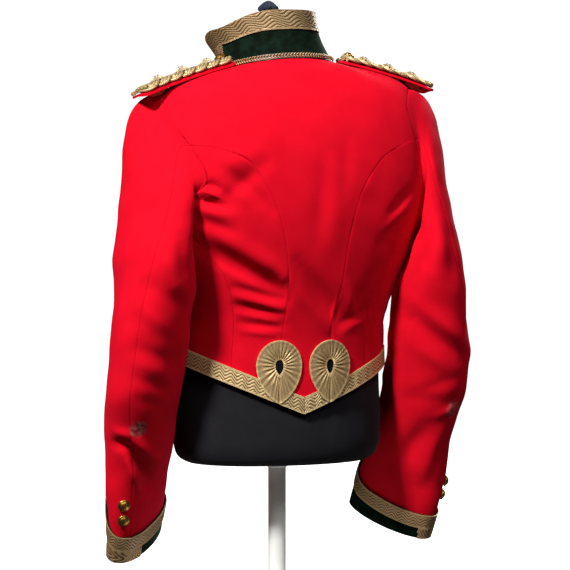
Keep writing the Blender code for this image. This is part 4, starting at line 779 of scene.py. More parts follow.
def sleeve_grid(side):
    """Outer points and normals of a sleeve, armhole to wrist, in left-side coordinates."""
    angles, levels = armhole_loop(side)
    edge = torso(angles, levels)
    edge_normal = torso_normal(angles, levels)
    along_edge = np.roll(edge, -1, axis=0) - np.roll(edge, 1, axis=0)
    away = unit(np.cross(edge_normal, along_edge))
    away *= np.sign(np.sum(away * (edge.mean(axis=0) - edge), axis=1))[:, None]
    crown = smooth_step(edge[:, 2], CROWN_FROM, edge[:, 2].max())[:, None]
    start = unit(away + crown * np.array(CROWN_LIFT))
    tube = [keep_off_body(section_ring(row[0], side)) for row in SLEEVE_SECTIONS]
    first, second = tube[0], tube[1]
    upward = unit(first - second)
    reach = np.linalg.norm(first - edge, axis=1)[:, None]
    share_out = BASE_OUT + (CROWN_OUT - BASE_OUT) * crown
    share_in = BASE_IN + (CROWN_IN - BASE_IN) * crown
    lead_out = edge + start * np.maximum(share_out * reach, ARMPIT_BEND)
    lead_in = first + upward * np.maximum(share_in * reach, ARMPIT_BEND)
    rings = [edge + away * SEAM]
    for t in HEAD_STEPS:
        rings.append((1 - t) ** 3 * edge + 3 * t * (1 - t) ** 2 * lead_out
                     + 3 * t ** 2 * (1 - t) * lead_in + t ** 3 * first)
    grid = np.array(rings + tube)
    head = len(HEAD_STEPS) + 1
    for _ in range(HEAD_SMOOTHING):
        sides = np.roll(grid, 1, axis=1) + np.roll(grid, -1, axis=1)
        grid[1:head + 1] = (2 * grid + sides)[1:head + 1] / 4
        rows = (grid[:head] + grid[2:head + 2]) / 2
        under = 1 - smooth_step(grid[1:head + 1, :, 2:], UNDERARM_FROM, UNDERARM_TO)
        grid[1:head + 1] += (rows - grid[1:head + 1]) * under * UNDERARM_EASE
    low = 1 - smooth_step(grid[2:head, :, 2:], UNDERARM_FROM, UNDERARM_TO)
    grid[2:head] += (keep_off_body(grid[2:head]) - grid[2:head]) * low
    normals = unit(np.cross(np.roll(grid, -1, axis=1) - np.roll(grid, 1, axis=1),
                            np.gradient(grid, axis=0)))
    middle = grid.mean(axis=1, keepdims=True)
    if np.sum(normals[-1] * (grid[-1] - middle[-1])) < 0:
        normals = -normals
    normals[0] = edge_normal
    for _ in range(NORMAL_SMOOTHING):
        rows = normals[:head] + normals[2:head + 2]
        sides = np.roll(normals, 1, axis=1) + np.roll(normals, -1, axis=1)
        normals[1:head + 1] = unit(2 * normals[1:head + 1] + rows + sides[1:head + 1])
    return grid, normals


def creased(grid, normals, rows, columns, side):
    """Sleeve surface at fractional rows and columns, with its creases; also its normals."""
    points = resample(grid, rows, columns)
    out = unit(resample(normals, rows, columns))
    total = float(SLEEVE_COLUMNS)
    across = np.broadcast_to(np.asarray(columns, float)[None, :], points.shape[:2])
    height = points[..., 2]
    lift = np.zeros_like(height)
    for shift in (-total, 0.0, total):
        folds = [((c1 + shift) * SLEEVE_PITCH, z1, (c2 + shift) * SLEEVE_PITCH, z2, w, h)
                 for c1, z1, c2, z2, w, h in SLEEVE_CREASES[side]]
        lift = lift + fold_lift(across * SLEEVE_PITCH, height, folds)
    around, girth = across * 2 * math.pi / total, 0.08
    uneven = ripple(np.sin(around) * girth, height, 5 if side == "L" else 9)
    uneven = uneven + ripple(np.cos(around) * girth, height * 0.8, 6 if side == "L" else 8)
    lift = lift * SLEEVE_CREASE_DEPTH + uneven
    row_of = np.broadcast_to(np.asarray(rows, float)[:, None], lift.shape)
    run = run_lengths(points, 0)
    lift = lift * smooth_step(row_of, 0.0, 1.6) * smooth_step(run[-1:] - run, 0.0, 0.05)
    return points, out, lift


def fine_columns(start, stop):
    """Columns of a sleeve piece, closer together where its two seams are turned in."""
    inside = np.arange(start + COLUMN_STEP, stop - COLUMN_STEP / 2, COLUMN_STEP)
    ends = np.array([0.012, 0.06, 0.12])
    return np.concatenate([start + ends, inside, stop - ends[::-1]])


def fine_rows(grid, step=STEP):
    """Fractional rows about one step apart down the sleeve."""
    places = np.linspace(0, grid.shape[0] - 1, 700)
    path = resample(grid, places, np.array([4.0]))[:, 0]
    run = run_lengths(path[:, None], 0)[:, 0]
    even = np.interp(np.linspace(0, run[-1], int(run[-1] / step)), run, places)
    return np.unique(np.concatenate([[0.0, 0.02, 0.06, 0.12], even[even > 0.16]]))


def make_sleeves(side, grid, normals, finish):
    """Top and under sleeve, cut apart along the hindarm and forearm seams."""
    for name, start, stop in (("sleeve_top_", 0, TOP_SLEEVE_COLUMNS),
                              ("sleeve_under_", TOP_SLEEVE_COLUMNS, SLEEVE_COLUMNS)):
        rows, columns = fine_rows(grid), fine_columns(start, stop)
        points, out, lift = creased(grid, normals, rows, columns, side)
        run = run_lengths(points, 1)
        distance = np.minimum(run, run[:, -1:] - run)
        down = run_lengths(points, 0)
        lift = lift + seam_tuck(distance) + seam_tuck(down) * 1.2
        outer = points + out * lift[..., None]
        piece = wall(name + "cloth_" + side, outer, outer - out * CLOTH, finish, side=side)
        cut_sheet(outer)
        declare(piece, name + side)


def cuff_surface(grid, normals, heights, columns, lift, side):
    """Points over the sleeve's end at heights above its hem, moved out by lift."""
    fine = fine_rows(grid, 0.002)
    fine = fine[fine > grid.shape[0] - 6]
    points, out, crease = creased(grid, normals, fine, columns, side)
    points = points + out * crease[..., None]
    above = run_lengths(points[::-1], 0)[::-1]
    heights = np.broadcast_to(heights, (heights.shape[0], len(columns)))
    places = np.empty((heights.shape[0], len(columns), 3))
    faces = np.empty_like(places)
    for c, axis in np.ndindex(len(columns), 3):
        up = above[::-1, c]
        places[:, c, axis] = np.interp(heights[:, c], up, points[::-1, c, axis])
        faces[:, c, axis] = np.interp(heights[:, c], up, out[::-1, c, axis])
    faces = unit(faces)
    return places + faces * np.asarray(lift)[..., None], faces


def make_cuff(side, grid, normals, velvet, gold):
    """Pointed velvet cuff, with lace along its top and down beside the hindarm seam."""
    ends = np.array([0.015, 0.08])
    inside = np.arange(CUFF_COLUMN_STEP, SLEEVE_COLUMNS - CUFF_COLUMN_STEP / 2,
                       CUFF_COLUMN_STEP)
    columns = np.concatenate([ends, inside, SLEEVE_COLUMNS - ends[::-1]])
    top = curve_value(CUFF_HEIGHT, columns / SLEEVE_COLUMNS)
    shares = np.linspace(0, 1, 26)[:, None]
    high = 3 * SEAM + VELVET
    outer, out = cuff_surface(grid, normals, shares * top, columns, high, side)
    piece = wall("cuff_velvet_" + side, outer, outer - out * VELVET, velvet, side=side)
    cut_sheet(outer)
    declare(piece, "cuff_" + side)

    upright_rows = 13
    band = np.concatenate([np.linspace(0, 1, upright_rows + 1)[:, None] * (top - LACE_WIDTH),
                           top - LACE_WIDTH * np.linspace(1, 0, 15)[1:, None]])
    outer, out = cuff_surface(grid, normals, band, columns, high + 2 * SEAM + LACE, side)
    run = run_lengths(outer, 1)
    turned = np.minimum(run / CUFF_TURN_SPREAD[side], run[:, -1:] - run)
    above = np.broadcast_to(top - band, turned.shape)
    mask = np.zeros((band.shape[0] - 1, len(columns) - 1), bool)
    mask[upright_rows:, :] = True
    edge_run = turned[:-1, :-1] + (turned[:-1, 1:] - turned[:-1, :-1]) / 2
    mask |= edge_run < LACE_WIDTH - 0.0005
    upright = turned < LACE_WIDTH
    uv = np.where((upright & (above > LACE_WIDTH))[..., None],
                  np.stack([above, turned], -1), np.stack([run, LACE_WIDTH - above], -1))
    piece = wall("cuff_lace_band_" + side, outer, outer - out * LACE, gold, uv, mask, side=side)
    declare(piece, "cuff_lace_" + side)


# ---------------------------------------------------------------- collar
def collar_surface(angles, shares, lift):
    """Grid of points on the collar's outer face, shares up from its neck seam."""
    degrees = np.degrees(angles)
    rise, lean = curve_value(COLLAR, degrees, 1), curve_value(COLLAR, degrees, 2)
    seat = torso(angles, np.full(len(angles), TOP_LEVEL))
    below = torso(angles, np.full(len(angles), TOP_LEVEL - 0.02))
    base = seat + unit(seat - below) * SEAM
    out = level_ways(angles)
    shares = np.asarray(shares, float)[:, None, None]
    up = np.array([0, 0, 1.0])
    bow = COLLAR_BOW * np.sin(np.pi * shares)
    points = base + up * rise[:, None] * shares + out * (lean[:, None] * shares - bow)
    return points + out * lift


def make_collar(velvet, gold):
    """Open stand collar with lace along its top and ends."""
    angles = np.radians(np.linspace(COLLAR[0][0], COLLAR[-1][0], 180))
    shares = np.linspace(0, 1, 24)
    outer = collar_surface(angles, shares, 0.0)
    piece = wall("collar_velvet", outer, collar_surface(angles, shares, -COLLAR_WALL), velvet)
    cut_sheet(outer)
    declare(piece, "collar")

    first, turn, turn_row = COLLAR_LACE_END, COLLAR_LACE_FOOT, 8
    shares = np.concatenate([np.linspace(first, turn, turn_row + 1),
                             np.linspace(turn, 1, 14)[1:]])
    outer = collar_surface(angles, shares, LACE + SEAM)
    run, up = run_lengths(outer, 1), run_lengths(outer, 0)
    ends = np.minimum(run, run[:, -1:] - run)
    mask = np.zeros((len(shares) - 1, len(angles) - 1), bool)
    mask[turn_row:, :] = True
    slant = COLLAR_LACE_SLANT * (shares[:-1, None] - first) / (turn - first)
    mask |= (ends[:-1, :-1] + ends[:-1, 1:]) / 2 < COLLAR_LACE_TURN + slant
    low = up[turn_row:turn_row + 1]
    uv = np.where((up < low)[..., None], np.stack([up, ends], -1),
                  np.stack([run, up - low], -1))
    piece = wall("collar_lace_band", outer, collar_surface(angles, shares, SEAM), gold, uv,
                 mask)
    declare(piece, "collar_lace")


# ---------------------------------------------------------------- lace on the body
def lifted(angles, levels, height):
    """Points over the worn torso at a height above it."""
    return torso(angles, levels) + torso_normal(angles, levels) * np.asarray(height)[..., None]


def make_hem_lace(side, gold):
    """Hem lace from the front edge to the point behind, where the two sides meet."""
    angles = np.linspace(curve_value(FRONT_EDGE, 0.0), 90.0, 150)
    angles[-1] -= math.degrees(SEAM / 2 / 0.15)
    around = mirrored(angles, side)
    tops = climb(around, HEM_LACE_TOP)
    levels = np.linspace(0, 1, 13)[:, None] * tops[None, :]
    grid = np.broadcast_to(around, levels.shape)
    outer, inner = lifted(grid, levels, SEAM + LACE), lifted(grid, levels, SEAM)
    run = run_lengths(outer, 1)
    uv = np.stack([run[:, -1:] - run, run_lengths(outer, 0)], -1)
    piece = wall("hem_lace_band_" + side, outer, inner, gold, uv)
    declare(piece, "hem_lace_" + side)


def make_front_lace(side, gold):
    """Lace up the front edge, from the hem lace to the collar."""
    foot = mirrored(curve_value(FRONT_EDGE, 0.0), side)
    low = float(climb(foot, HEM_LACE_TOP + FRONT_LACE_START)[0])
    levels = fine_levels(low, TOP_LEVEL - 0.1)
    edge = curve_value(FRONT_EDGE, levels)
    a = mirrored(edge, side)
    far = mirrored(edge + np.degrees(LACE_WIDTH / metres_round(a, levels)), side)
    angles = a[None, :] + (far - a)[None, :] * np.linspace(0, 1, 12)[:, None]
    rows = np.broadcast_to(levels, angles.shape)
    outer = lifted(angles, rows, 3 * SEAM + LACE)
    piece = wall("front_lace_band_" + side, outer, lifted(angles, rows, 3 * SEAM), gold)
    length = float(run_lengths(outer, 1)[:, -1].max())
    declare(piece, "front_lace_" + side)


def teardrop(turn, half_width, top, tip):
    """Outline of an eye: round above and pointed below; turn in radians from +x."""
    c, s = np.cos(turn), np.sin(turn)
    narrow = np.maximum(1 - np.abs(s) ** 2.2, 0.0) ** 0.75
    x = np.where(s >= 0, half_width * c, half_width * np.sign(c) * narrow)
    z = np.where(s >= 0, top * s, tip * np.abs(s) ** 1.15)
    return np.stack([x, z], -1)


def make_eye(side, gold, ground):
    """Loop of lace gathered round a dark eye, its point on the hem lace."""
    columns, bands = 300, 16
    turn = full_turn(columns) + math.pi / 2
    hole = teardrop(turn, EYE_HOLE_HALF_WIDTH, EYE_HOLE_TOP, EYE_HOLE_TIP)
    rim = teardrop(turn, EYE_HALF_WIDTH, EYE_TOP, EYE_TIP)
    share = np.linspace(0, 1, bands + 1)[:, None, None]
    flat = hole + (rim - hole) * share
    x = EYE_CENTRE_X[side] + flat[..., 0]
    z = EYE_CENTRE_Z + flat[..., 1]
    angles, levels = find_on_back(x, z)
    draw = np.random.default_rng(71 if side == "L" else 72)
    warp = sum(draw.uniform(0.15, 0.5) * np.sin(k * turn + draw.uniform(0, 6)) for k in range(2, 6))
    share = share[..., 0]
    gather = np.sin(EYE_GATHERS * turn + warp[None, :] * 1.6 + 1.3 * share)
    tufts = 24
    weight = draw.uniform(0.55, 1.0, tufts)
    strength = np.interp((turn / (2 * np.pi) * tufts) % tufts, np.arange(tufts + 1),
                         np.append(weight, weight[0]))
    fold = EYE_FOLD * gather * strength * smooth_step(share, -0.1, 0.2)
    low = smooth_step(-np.sin(turn), 0.55, 0.95)[None, :]
    fold = fold * (1 - 0.75 * smooth_step(share, 0.35, 0.75)) * (1 - 0.6 * low)
    roll = EYE_ROLL * np.sin(np.pi * share) + 0.0005 * smooth_step(share, 0.86, 0.96)
    below = smooth_step(EYE_CENTRE_Z + EYE_HOLE_TIP - z, 0.0, 0.01)
    middle = -EYE_PINCH * np.exp(-((x - EYE_CENTRE_X[side]) / 0.0016) ** 2) * below
    outer = lifted(angles, levels, EYE_BODY + roll + fold + middle)
    ways = np.linspace(1.0, 2.1, 30)
    over = levels <= np.interp(angles, ways, climb(ways, HEM_LACE_TOP + EYE_ON_LACE))
    inner = lifted(angles, levels, np.where(over, EYE_OVER_LACE, EYE_OVER_CLOTH))
    around = np.broadcast_to(turn[None, :] / (2 * np.pi), share.shape[:1] + (columns,))
    uv = np.stack([around, np.broadcast_to(share, around.shape)], -1)
    piece = wall("eye_gather_" + side, outer, inner, gold, uv, closed=True)
    cover = teardrop(turn[::6], EYE_HOLE_HALF_WIDTH + EYE_COVER, EYE_HOLE_TOP + EYE_COVER,
                     EYE_HOLE_TIP - EYE_COVER)
    reach = np.array([0.3, 0.7, 1.0, 1.0, 0.7, 0.3])[:, None, None]
    thick = np.array([0.0012, 0.0012, 0.0010, 0.0005, 0.0004, 0.0004])[:, None]
    a, lv = find_on_back(EYE_CENTRE_X[side] + reach[..., 0] * cover[None, :, 0],
                         EYE_CENTRE_Z + reach[..., 0] * cover[None, :, 1])
    join(piece, loft("eye_ground_" + side,
                     settle(lifted(a, lv, np.broadcast_to(thick, a.shape))), ground))
    declare(piece, "eye_" + side)


# ---------------------------------------------------------------- node trees
MATHS, NOISE, RAMP = "ShaderNodeMath", "ShaderNodeTexNoise", "ShaderNodeMapRange"
EASED = {"interpolation_type": "SMOOTHSTEP"}
MM_PER_METRE = 1000.0


def linear(hex_colour):
    """Linear RGBA of an sRGB colour written as #rrggbb."""
    parts = [int(hex_colour[i:i + 2], 16) / 255 for i in (1, 3, 5)]
    return tuple(p / 12.92 if p <= 0.04045 else ((p + 0.055) / 1.055) ** 2.4
                 for p in parts) + (1.0,)


def add_node(tree, kind, inputs=(), **settings):
    """Add a node. Inputs, by name, index or order, are values, #rrggbb, sockets or nodes."""
    node = tree.nodes.new(kind)
    for key, value in settings.items():
        setattr(node, key, value)
    for socket, value in inputs.items() if isinstance(inputs, dict) else enumerate(inputs):
        if isinstance(value, bpy.types.Node):
            value = next(output for output in value.outputs if output.enabled)
        if isinstance(value, bpy.types.NodeSocket):
            tree.links.new(value, node.inputs[socket])
        else:
            is_colour = isinstance(value, str) and value.startswith("#")
            node.inputs[socket].default_value = linear(value) if is_colour else value
    return node


def new_shape_tree(name, sizes):
    """Geometry tree with a mesh in and out and named lengths; returns tree and sockets."""
    tree = bpy.data.node_groups.new(name, "GeometryNodeTree")
    tree.interface.new_socket("Geometry", in_out="INPUT", socket_type="NodeSocketGeometry")
    tree.interface.new_socket("Geometry", in_out="OUTPUT", socket_type="NodeSocketGeometry")
    for label, value in sizes.items():
        made = tree.interface.new_socket(label, in_out="INPUT", socket_type="NodeSocketFloat")
        made.default_value = value
    return tree, add_node(tree, "NodeGroupInput").outputs


def end_shape_tree(tree, shape, finish):
    """Close a geometry tree with real faces in one finish."""
    real = add_node(tree, "GeometryNodeRealizeInstances", {"Geometry": shape})
    painted = add_node(tree, "GeometryNodeSetMaterial", {"Geometry": real, "Material": finish})
    add_node(tree, "NodeGroupOutput", {"Geometry": painted})
    return tree


def twisted_cord_tree(finish, sizes):
    """Sweep a twisted three-ply cord along every line of the input mesh."""
    tree, given = new_shape_tree("twisted_cord", sizes)
    line = add_node(tree, "GeometryNodeMeshToCurve", {"Mesh": given["Geometry"]})
    fine = add_node(tree, "GeometryNodeResampleCurve", {"Curve": line, "Length": given["Step"]},
                    mode="LENGTH")
    place = add_node(tree, "GeometryNodeSplineParameter").outputs["Length"]
    turns = add_node(tree, MATHS, (place, given["Twist pitch"]), operation="DIVIDE")
    tilt = add_node(tree, MATHS, (turns, 2 * math.pi), operation="MULTIPLY")
    tilted = add_node(tree, "GeometryNodeSetCurveTilt", {"Curve": fine, "Tilt": tilt})
    waist = add_node(tree, MATHS, (given["Cord radius"], 0.74), operation="MULTIPLY")
    ply = add_node(tree, "GeometryNodeCurveStar", {"Points": 4, "Inner Radius": waist,
                                                   "Outer Radius": given["Cord radius"]})
    swept = add_node(tree, "GeometryNodeCurveToMesh", {"Curve": tilted, "Profile Curve": ply,
                                                       "Fill Caps": True})
    return end_shape_tree(tree, swept, finish)


def chevron_braid_tree(finish, sizes):
    """Set pairs of slanted links along the input line, which carries its own outward way."""
    tree, given = new_shape_tree("chevron_braid", sizes)
    line = add_node(tree, "GeometryNodeMeshToCurve", {"Mesh": given["Geometry"]})
    fine = add_node(tree, "GeometryNodeResampleCurve", {"Curve": line, "Length": given["Pitch"]},
                    mode="LENGTH")
    ball = add_node(tree, "GeometryNodeMeshUVSphere", {"Segments": 8, "Rings": 6,
                                                       "Radius": 0.001})
    pair = add_node(tree, "GeometryNodeJoinGeometry")
    for slant in (1, -1):
        link = add_node(tree, "GeometryNodeTransform",
                        {"Geometry": ball, "Translation": (0, slant * 0.0017, 0),
                         "Rotation": (0, 0, slant * math.radians(-48)),
                         "Scale": (0.85, 2.7, 1.1)})
        tree.links.new(link.outputs[0], pair.inputs[0])
    along = add_node(tree, "GeometryNodeInputTangent")
    out = add_node(tree, "GeometryNodeInputNamedAttribute", {"Name": "out"},
                   data_type="FLOAT_VECTOR").outputs[0]
    turn = add_node(tree, "FunctionNodeAlignRotationToVector", {"Vector": out}, axis="Z")
    turn = add_node(tree, "FunctionNodeAlignRotationToVector",
                    {"Rotation": turn, "Vector": along}, axis="X", pivot_axis="Z")
    placed = add_node(tree, "GeometryNodeInstanceOnPoints",
                      {"Points": fine, "Instance": pair, "Rotation": turn,
                       "Scale": given["Link size"]})
    real = add_node(tree, "GeometryNodeRealizeInstances", {"Geometry": placed})
    smooth = add_node(tree, "GeometryNodeSetShadeSmooth", {"Geometry": real})
    return end_shape_tree(tree, smooth, finish)


def line_mesh(name, lines, outs=None):
    """Mesh of open lines, with an outward way at each point when one is given."""
    mesh = bpy.data.meshes.new(name)
    verts, edges = [], []
    for line in lines:
        start = len(verts)
        verts += np.asarray(line).tolist()
        edges += [(start + k, start + k + 1) for k in range(len(line) - 1)]
    mesh.from_pydata(verts, edges, [])
    if outs is not None:
        layer = mesh.attributes.new("out", "FLOAT_VECTOR", "POINT")
        layer.data.foreach_set("vector", np.concatenate(outs).ravel())
    made = bpy.data.objects.new(name, mesh)
    bpy.context.collection.objects.link(made)
    return made


def grow(base, tree, finish, name):
    """Plain mesh object from a base object and a geometry tree."""
    base.modifiers.new(name, "NODES").node_group = tree
    held = bpy.context.evaluated_depsgraph_get()
    mesh = bpy.data.meshes.new_from_object(base.evaluated_get(held))
    mesh.name = name
    mesh.materials.clear()
    mesh.materials.append(finish)
    bpy.data.objects.remove(base)
    made = bpy.data.objects.new(name, mesh)
    bpy.context.collection.objects.link(made)
    return face_outward(made)


def make_braid(finish, core_shade_finish):
    """Chevron braid round the foot of the collar, over its stiff core, which is coloured near black
    as painted shade between the links.
    """
    angles = np.radians(np.linspace(COLLAR[0][0] + 0.6, COLLAR[-1][0] - 0.6, 240))
    path = collar_surface(angles, [(BRAID_FOOT + BRAID_TOP) / 2], SEAM + 0.0018)[0]
    out = level_ways(angles)
    base = line_mesh("braid_line", [settle(path)], [out])
    tree = chevron_braid_tree(finish, {"Pitch": BRAID_PITCH, "Link size": 1.0})
    grown = grow(base, tree, finish, "braid_links")
    core = (BRAID_FOOT, BRAID_TOP)
    outer = collar_surface(angles, core, SEAM + 0.0012)
    piece = wall("collar_braid_band", outer, collar_surface(angles, core, SEAM), core_shade_finish)
    join(piece, grown)
    declare(piece, "collar_braid")


# ---------------------------------------------------------------- shoulder boards
def board_point(share, across, up, side):
    """Points on a shoulder board: shares of its length, across it, above its underside."""
    start, stop = np.array(BOARD_START), np.array(BOARD_END)
    along = unit(stop - start)
    side_way = unit(np.cross(np.array([0, 0, 1.0]), along))
    above = np.cross(along, side_way)
    share, across, up = (np.asarray(v, float)[..., None] for v in (share, across, up))
    point = start + (stop - start) * share + side_way * across
    sag = np.where(across > 0, BOARD_REAR_SAG, BOARD_SAG) * across ** 2
    rise = BOARD_ARCH * 4 * share * (1 - share)
    return side_points(point + above * (up + rise - sag), side)


def board_half(share):
    """Half width of a board at shares of its length."""
    near = np.clip(share / BOARD_END_SHARE, 0, 1)
    far = np.clip((1 - share) / BOARD_END_SHARE, 0, 1)
    low = 0.45 + 0.55 * np.sqrt(1 - (1 - near) ** 2)
    high = 0.55 + 0.45 * np.sqrt(1 - (1 - far) ** 2)
    return BOARD_HALF_WIDTH * np.minimum(low, high)


def make_board(side, cloth, cord):
    """Cloth backing with three bundles of twisted cord plaited over it."""
    ends = np.linspace(0, BOARD_END_SHARE, 14)
    middle = np.linspace(BOARD_END_SHARE, 1 - BOARD_END_SHARE, 60)[1:-1]
    shares = np.concatenate([ends, middle, 1 - ends[::-1]])
    widths = np.linspace(-1, 1, 21)[None, :] * board_half(shares)[:, None]
    rows = np.broadcast_to(shares[:, None], widths.shape)
    piece = wall("shoulder_cloth_" + side, board_point(rows, widths, BOARD_WALL, side),
                 board_point(rows, widths, 0.0, side), cloth)
    length = float(np.linalg.norm(np.array(BOARD_END) - np.array(BOARD_START)))
    declare(piece, "shoulder_backing_" + side)

    lines = []
    reach = np.linspace(0.0, 1.0, 420)
    low = BOARD_WALL + SEAM + CORD_RADIUS
    for strand in range(3):
        for cord_of in (-1, 0, 1):
            turn = reach * CORD_LOBES * math.pi + strand * 2 * math.pi / 3
            centre = (BOARD_HALF_WIDTH + 0.0012 - 3.02 * CORD_RADIUS) * np.sin(turn)
            slope = np.gradient(centre, reach * length)
            shift = cord_of * CORD_SPACING * CORD_RADIUS
            across = centre + shift / np.sqrt(1 + slope ** 2)
            share = reach - shift * slope / np.sqrt(1 + slope ** 2) / length
            share = np.interp(share, (0.0, 1.0), CORD_PLACES)
            narrow = np.minimum(1.0, board_half(share) / BOARD_HALF_WIDTH)
            up = low + CORD_WAVE * (1 + np.sin(2 * turn + 0.5))
            lines.append(settle(board_point(share, across * narrow, up, side)))
    base = line_mesh("plait_lines_" + side, lines)
    tree = twisted_cord_tree(cord, {"Cord radius": CORD_RADIUS, "Twist pitch": CORD_TWIST,
                                    "Step": CORD_STEP})
    plait = grow(base, tree, cord, "shoulder_cord_plait_" + side)
    declare(plait, "shoulder_cord_" + side)


def small_frame(origin, out, hint):
    """Placing function of a trim that stands on a point with a given outward way."""
    out = unit(np.asarray(out, float))
    across = unit(np.cross(hint, out))
    third = np.cross(out, across)

    def place(flat, height):
        return (origin + flat[..., :1] * across + flat[..., 1:] * third
                + np.asarray(height)[..., None] * out)
    return place


def make_button(name, origin, out, finish, node):
    """Domed gilt button with a rolled rim and a plain rayed face."""
    profile = np.array([(0.20, 0.00), (0.86, 0.00), (0.97, 0.08), (1.00, 0.20), (0.985, 0.33),
                        (0.94, 0.42), (0.89, 0.45), (0.85, 0.42), (0.81, 0.43), (0.70, 0.62),
                        (0.55, 0.80), (0.38, 0.92), (0.20, 0.985), (0.06, 1.0)])
    turn = full_turn(40)
    radius = profile[:, :1] * BUTTON_RADIUS * np.ones(40)
    ray = 0.045 * np.cos(8 * turn)[None, :] * smooth_step(0.72 - profile[:, :1], 0.0, 0.15)
    ray = ray * smooth_step(profile[:, :1], 0.15, 0.3) * (profile[:, 1:] > 0.5)
    height = (profile[:, 1:] + ray) * BUTTON_HEIGHT
    flat = np.stack([radius * np.cos(turn), radius * np.sin(turn)], -1)
    hint = (0.0, 0.0, 1.0) if abs(unit(np.array(out))[2]) < 0.9 else (0.0, 1.0, 0.0)
    rings = settle(small_frame(np.array(origin), out, hint)(flat, height))
    declare(loft(name, rings, finish), node)


def make_pip(name, origin, out, hint, finish, node):
    """Embroidered rank star: eight ridged rays round a raised middle."""
    turn = full_turn(PIP_RAYS * 8)
    swing = np.abs(np.mod(turn * PIP_RAYS / (2 * np.pi) + 0.5, 1) - 0.5) * 2
    outline = 1.0 - 0.38 * swing
    rows = np.array([(0.3, 0.0), (1.0, 0.0), (1.0, 0.25), (0.86, 0.50), (0.62, 0.68), (0.46, 0.72),
                     (0.42, 0.92), (0.28, 1.0), (0.10, 0.94)])
    ray = 1 - 0.30 * swing[None, :] * smooth_step(rows[:, :1], 0.44, 0.6)
    radius = rows[:, :1] * (1 + (outline - 1)[None, :] * smooth_step(rows[:, :1], 0.3, 0.7))
    radius = radius * PIP_RADIUS
    flat = np.stack([radius * np.cos(turn), radius * np.sin(turn)], -1)
    height = rows[:, 1:] * ray * PIP_HEIGHT
    uv = np.stack([np.broadcast_to(turn / (2 * np.pi), radius.shape), radius / PIP_RADIUS], -1)
    rings = settle(small_frame(np.array(origin), out, hint)(flat, height))
    declare(loft(name, rings, finish, uv), node)


def make_shoulder_trims(side, grid, gilt, pip, cream):
    """Button, three rank stars and the strap end under each board."""
    middle = BOARD_WALL + 2 * SEAM + CORD_HEIGHT
    up = unit(board_point(0.5, 0.0, 1.0, side) - board_point(0.5, 0.0, 0.0, side))
    hint = unit(board_point(1.0, 0.0, 0.0, side) - board_point(0.0, 0.0, 0.0, side))
    make_button("gilt_shoulder_button_" + side, board_point(BUTTON_PLACE, 0.0, middle, side), up,
                gilt, "shoulder_button_" + side)
    for index, share in enumerate(PIP_PLACES, start=1):
        own = "%s%d" % (side, index)
        make_pip("pip_" + own, board_point(share, 0.0, middle, side), up, hint, pip,
                 "star_" + own)
    # The strap end fills the gap between the board and the shoulder below it
    levels, angles = np.meshgrid(np.linspace(6.6, TOP_LEVEL, 120),
                                 np.radians(np.linspace(-60, 70, 160)))
    head = resample(grid, np.linspace(0, 4, 33), np.linspace(0, 14, 113))
    cloud = np.concatenate([torso(angles, levels).reshape(-1, 3), head.reshape(-1, 3)])
    shares, across = np.meshgrid(np.linspace(*KEEPER_SHARES, 13),
                                 np.linspace(-1, 1, 9) * KEEPER_HALF_WIDTH, indexing="ij")
    top = board_point(shares, across, -SEAM, "L")
    under = top.copy()
    for place in np.ndindex(shares.shape):
        x, y, z = top[place]
        near = np.hypot(cloud[:, 0] - x, cloud[:, 1] - y) < KEEPER_REACH
        floor = min(cloud[near, 2].max() + 0.0004, z - 0.001)
        under[place][2] = max(floor, z - KEEPER_DROP)
    piece = wall("strap_end_" + side, top, under, cream, side=side)
    declare(piece, "shoulder_keeper_" + side)


def make_cuff_buttons(side, grid, normals, gilt):
    """Two buttons above the cuff, beside the hindarm seam."""
    rows = fine_rows(grid, 0.002)
    column = np.array([CUFF_BUTTON_STEP])
    points, out, lift = creased(grid, normals, rows, column, side)
    surface = (points + out * lift[..., None])[:, 0]
    run = run_lengths(points[:, :1], 0)[:, 0]
    for index, height in enumerate(CUFF_BUTTON_HEIGHTS, start=1):
        k = int(np.argmin(np.abs(run[-1] - run - height)))
        origin = side_points(surface[k] + out[k, 0] * SEAM, side)
        make_button("gilt_cuff_button_%s%d" % (side, index), origin,
                    side_points(out[k, 0], side), gilt, "cuff_button_%s%d" % (side, index))


# ---------------------------------------------------------------- form and stand
def form_ring(half_width, half_depth, centre_y, z, columns):
    """Plain rounded ring of the form."""
    turn = full_turn(columns)
    power = 2 / 2.15
    x = half_width * np.sign(np.cos(turn)) * np.abs(np.cos(turn)) ** power
    y = centre_y + half_depth * np.sign(np.sin(turn)) * np.abs(np.sin(turn)) ** power
    return np.stack([x, y, np.full_like(x, z)], -1)


def make_form(jersey):
    """Limbless torso with a capped neck, filling the jacket without touching it."""
    columns = 112
    turn = full_turn(columns)
    rings = [form_ring(a, b, y, z, columns) for z, a, b, y in FORM_HIPS]
    for level in FORM_LEVELS:
        level_row = np.full(columns, level)
        inset = float(curve_value(FORM_INSET, level))
        rings.append(torso(turn, level_row, folded=False) - torso_normal(turn, level_row) * inset)
    for z, radius, x, y in FORM_NECK:
        rings.append(form_ring(radius, radius, y, z, columns) + np.array([x, 0.0, 0.0]))
    rings = np.array(rings)
    rows = np.linspace(0, len(rings) - 1, (len(rings) - 1) * 5 + 1)
    fine = resample(rings, rows, np.arange(columns))
    loose = smooth_step(fine[..., 2], 0.262, 0.29) * (1 - smooth_step(fine[..., 2], 0.33, 0.36))
    way = np.arctan2(fine[..., 1], fine[..., 0])
    crease = sum(lift * np.exp(-((way - place) / width) ** 2) for place, width, lift in FORM_CREASES)
    outward = unit(fine - fine.mean(axis=1, keepdims=True))
    fine = fine + outward * (loose * crease)[..., None]
    declare(loft("jersey_form", settle(fine), jersey), "dress_form")


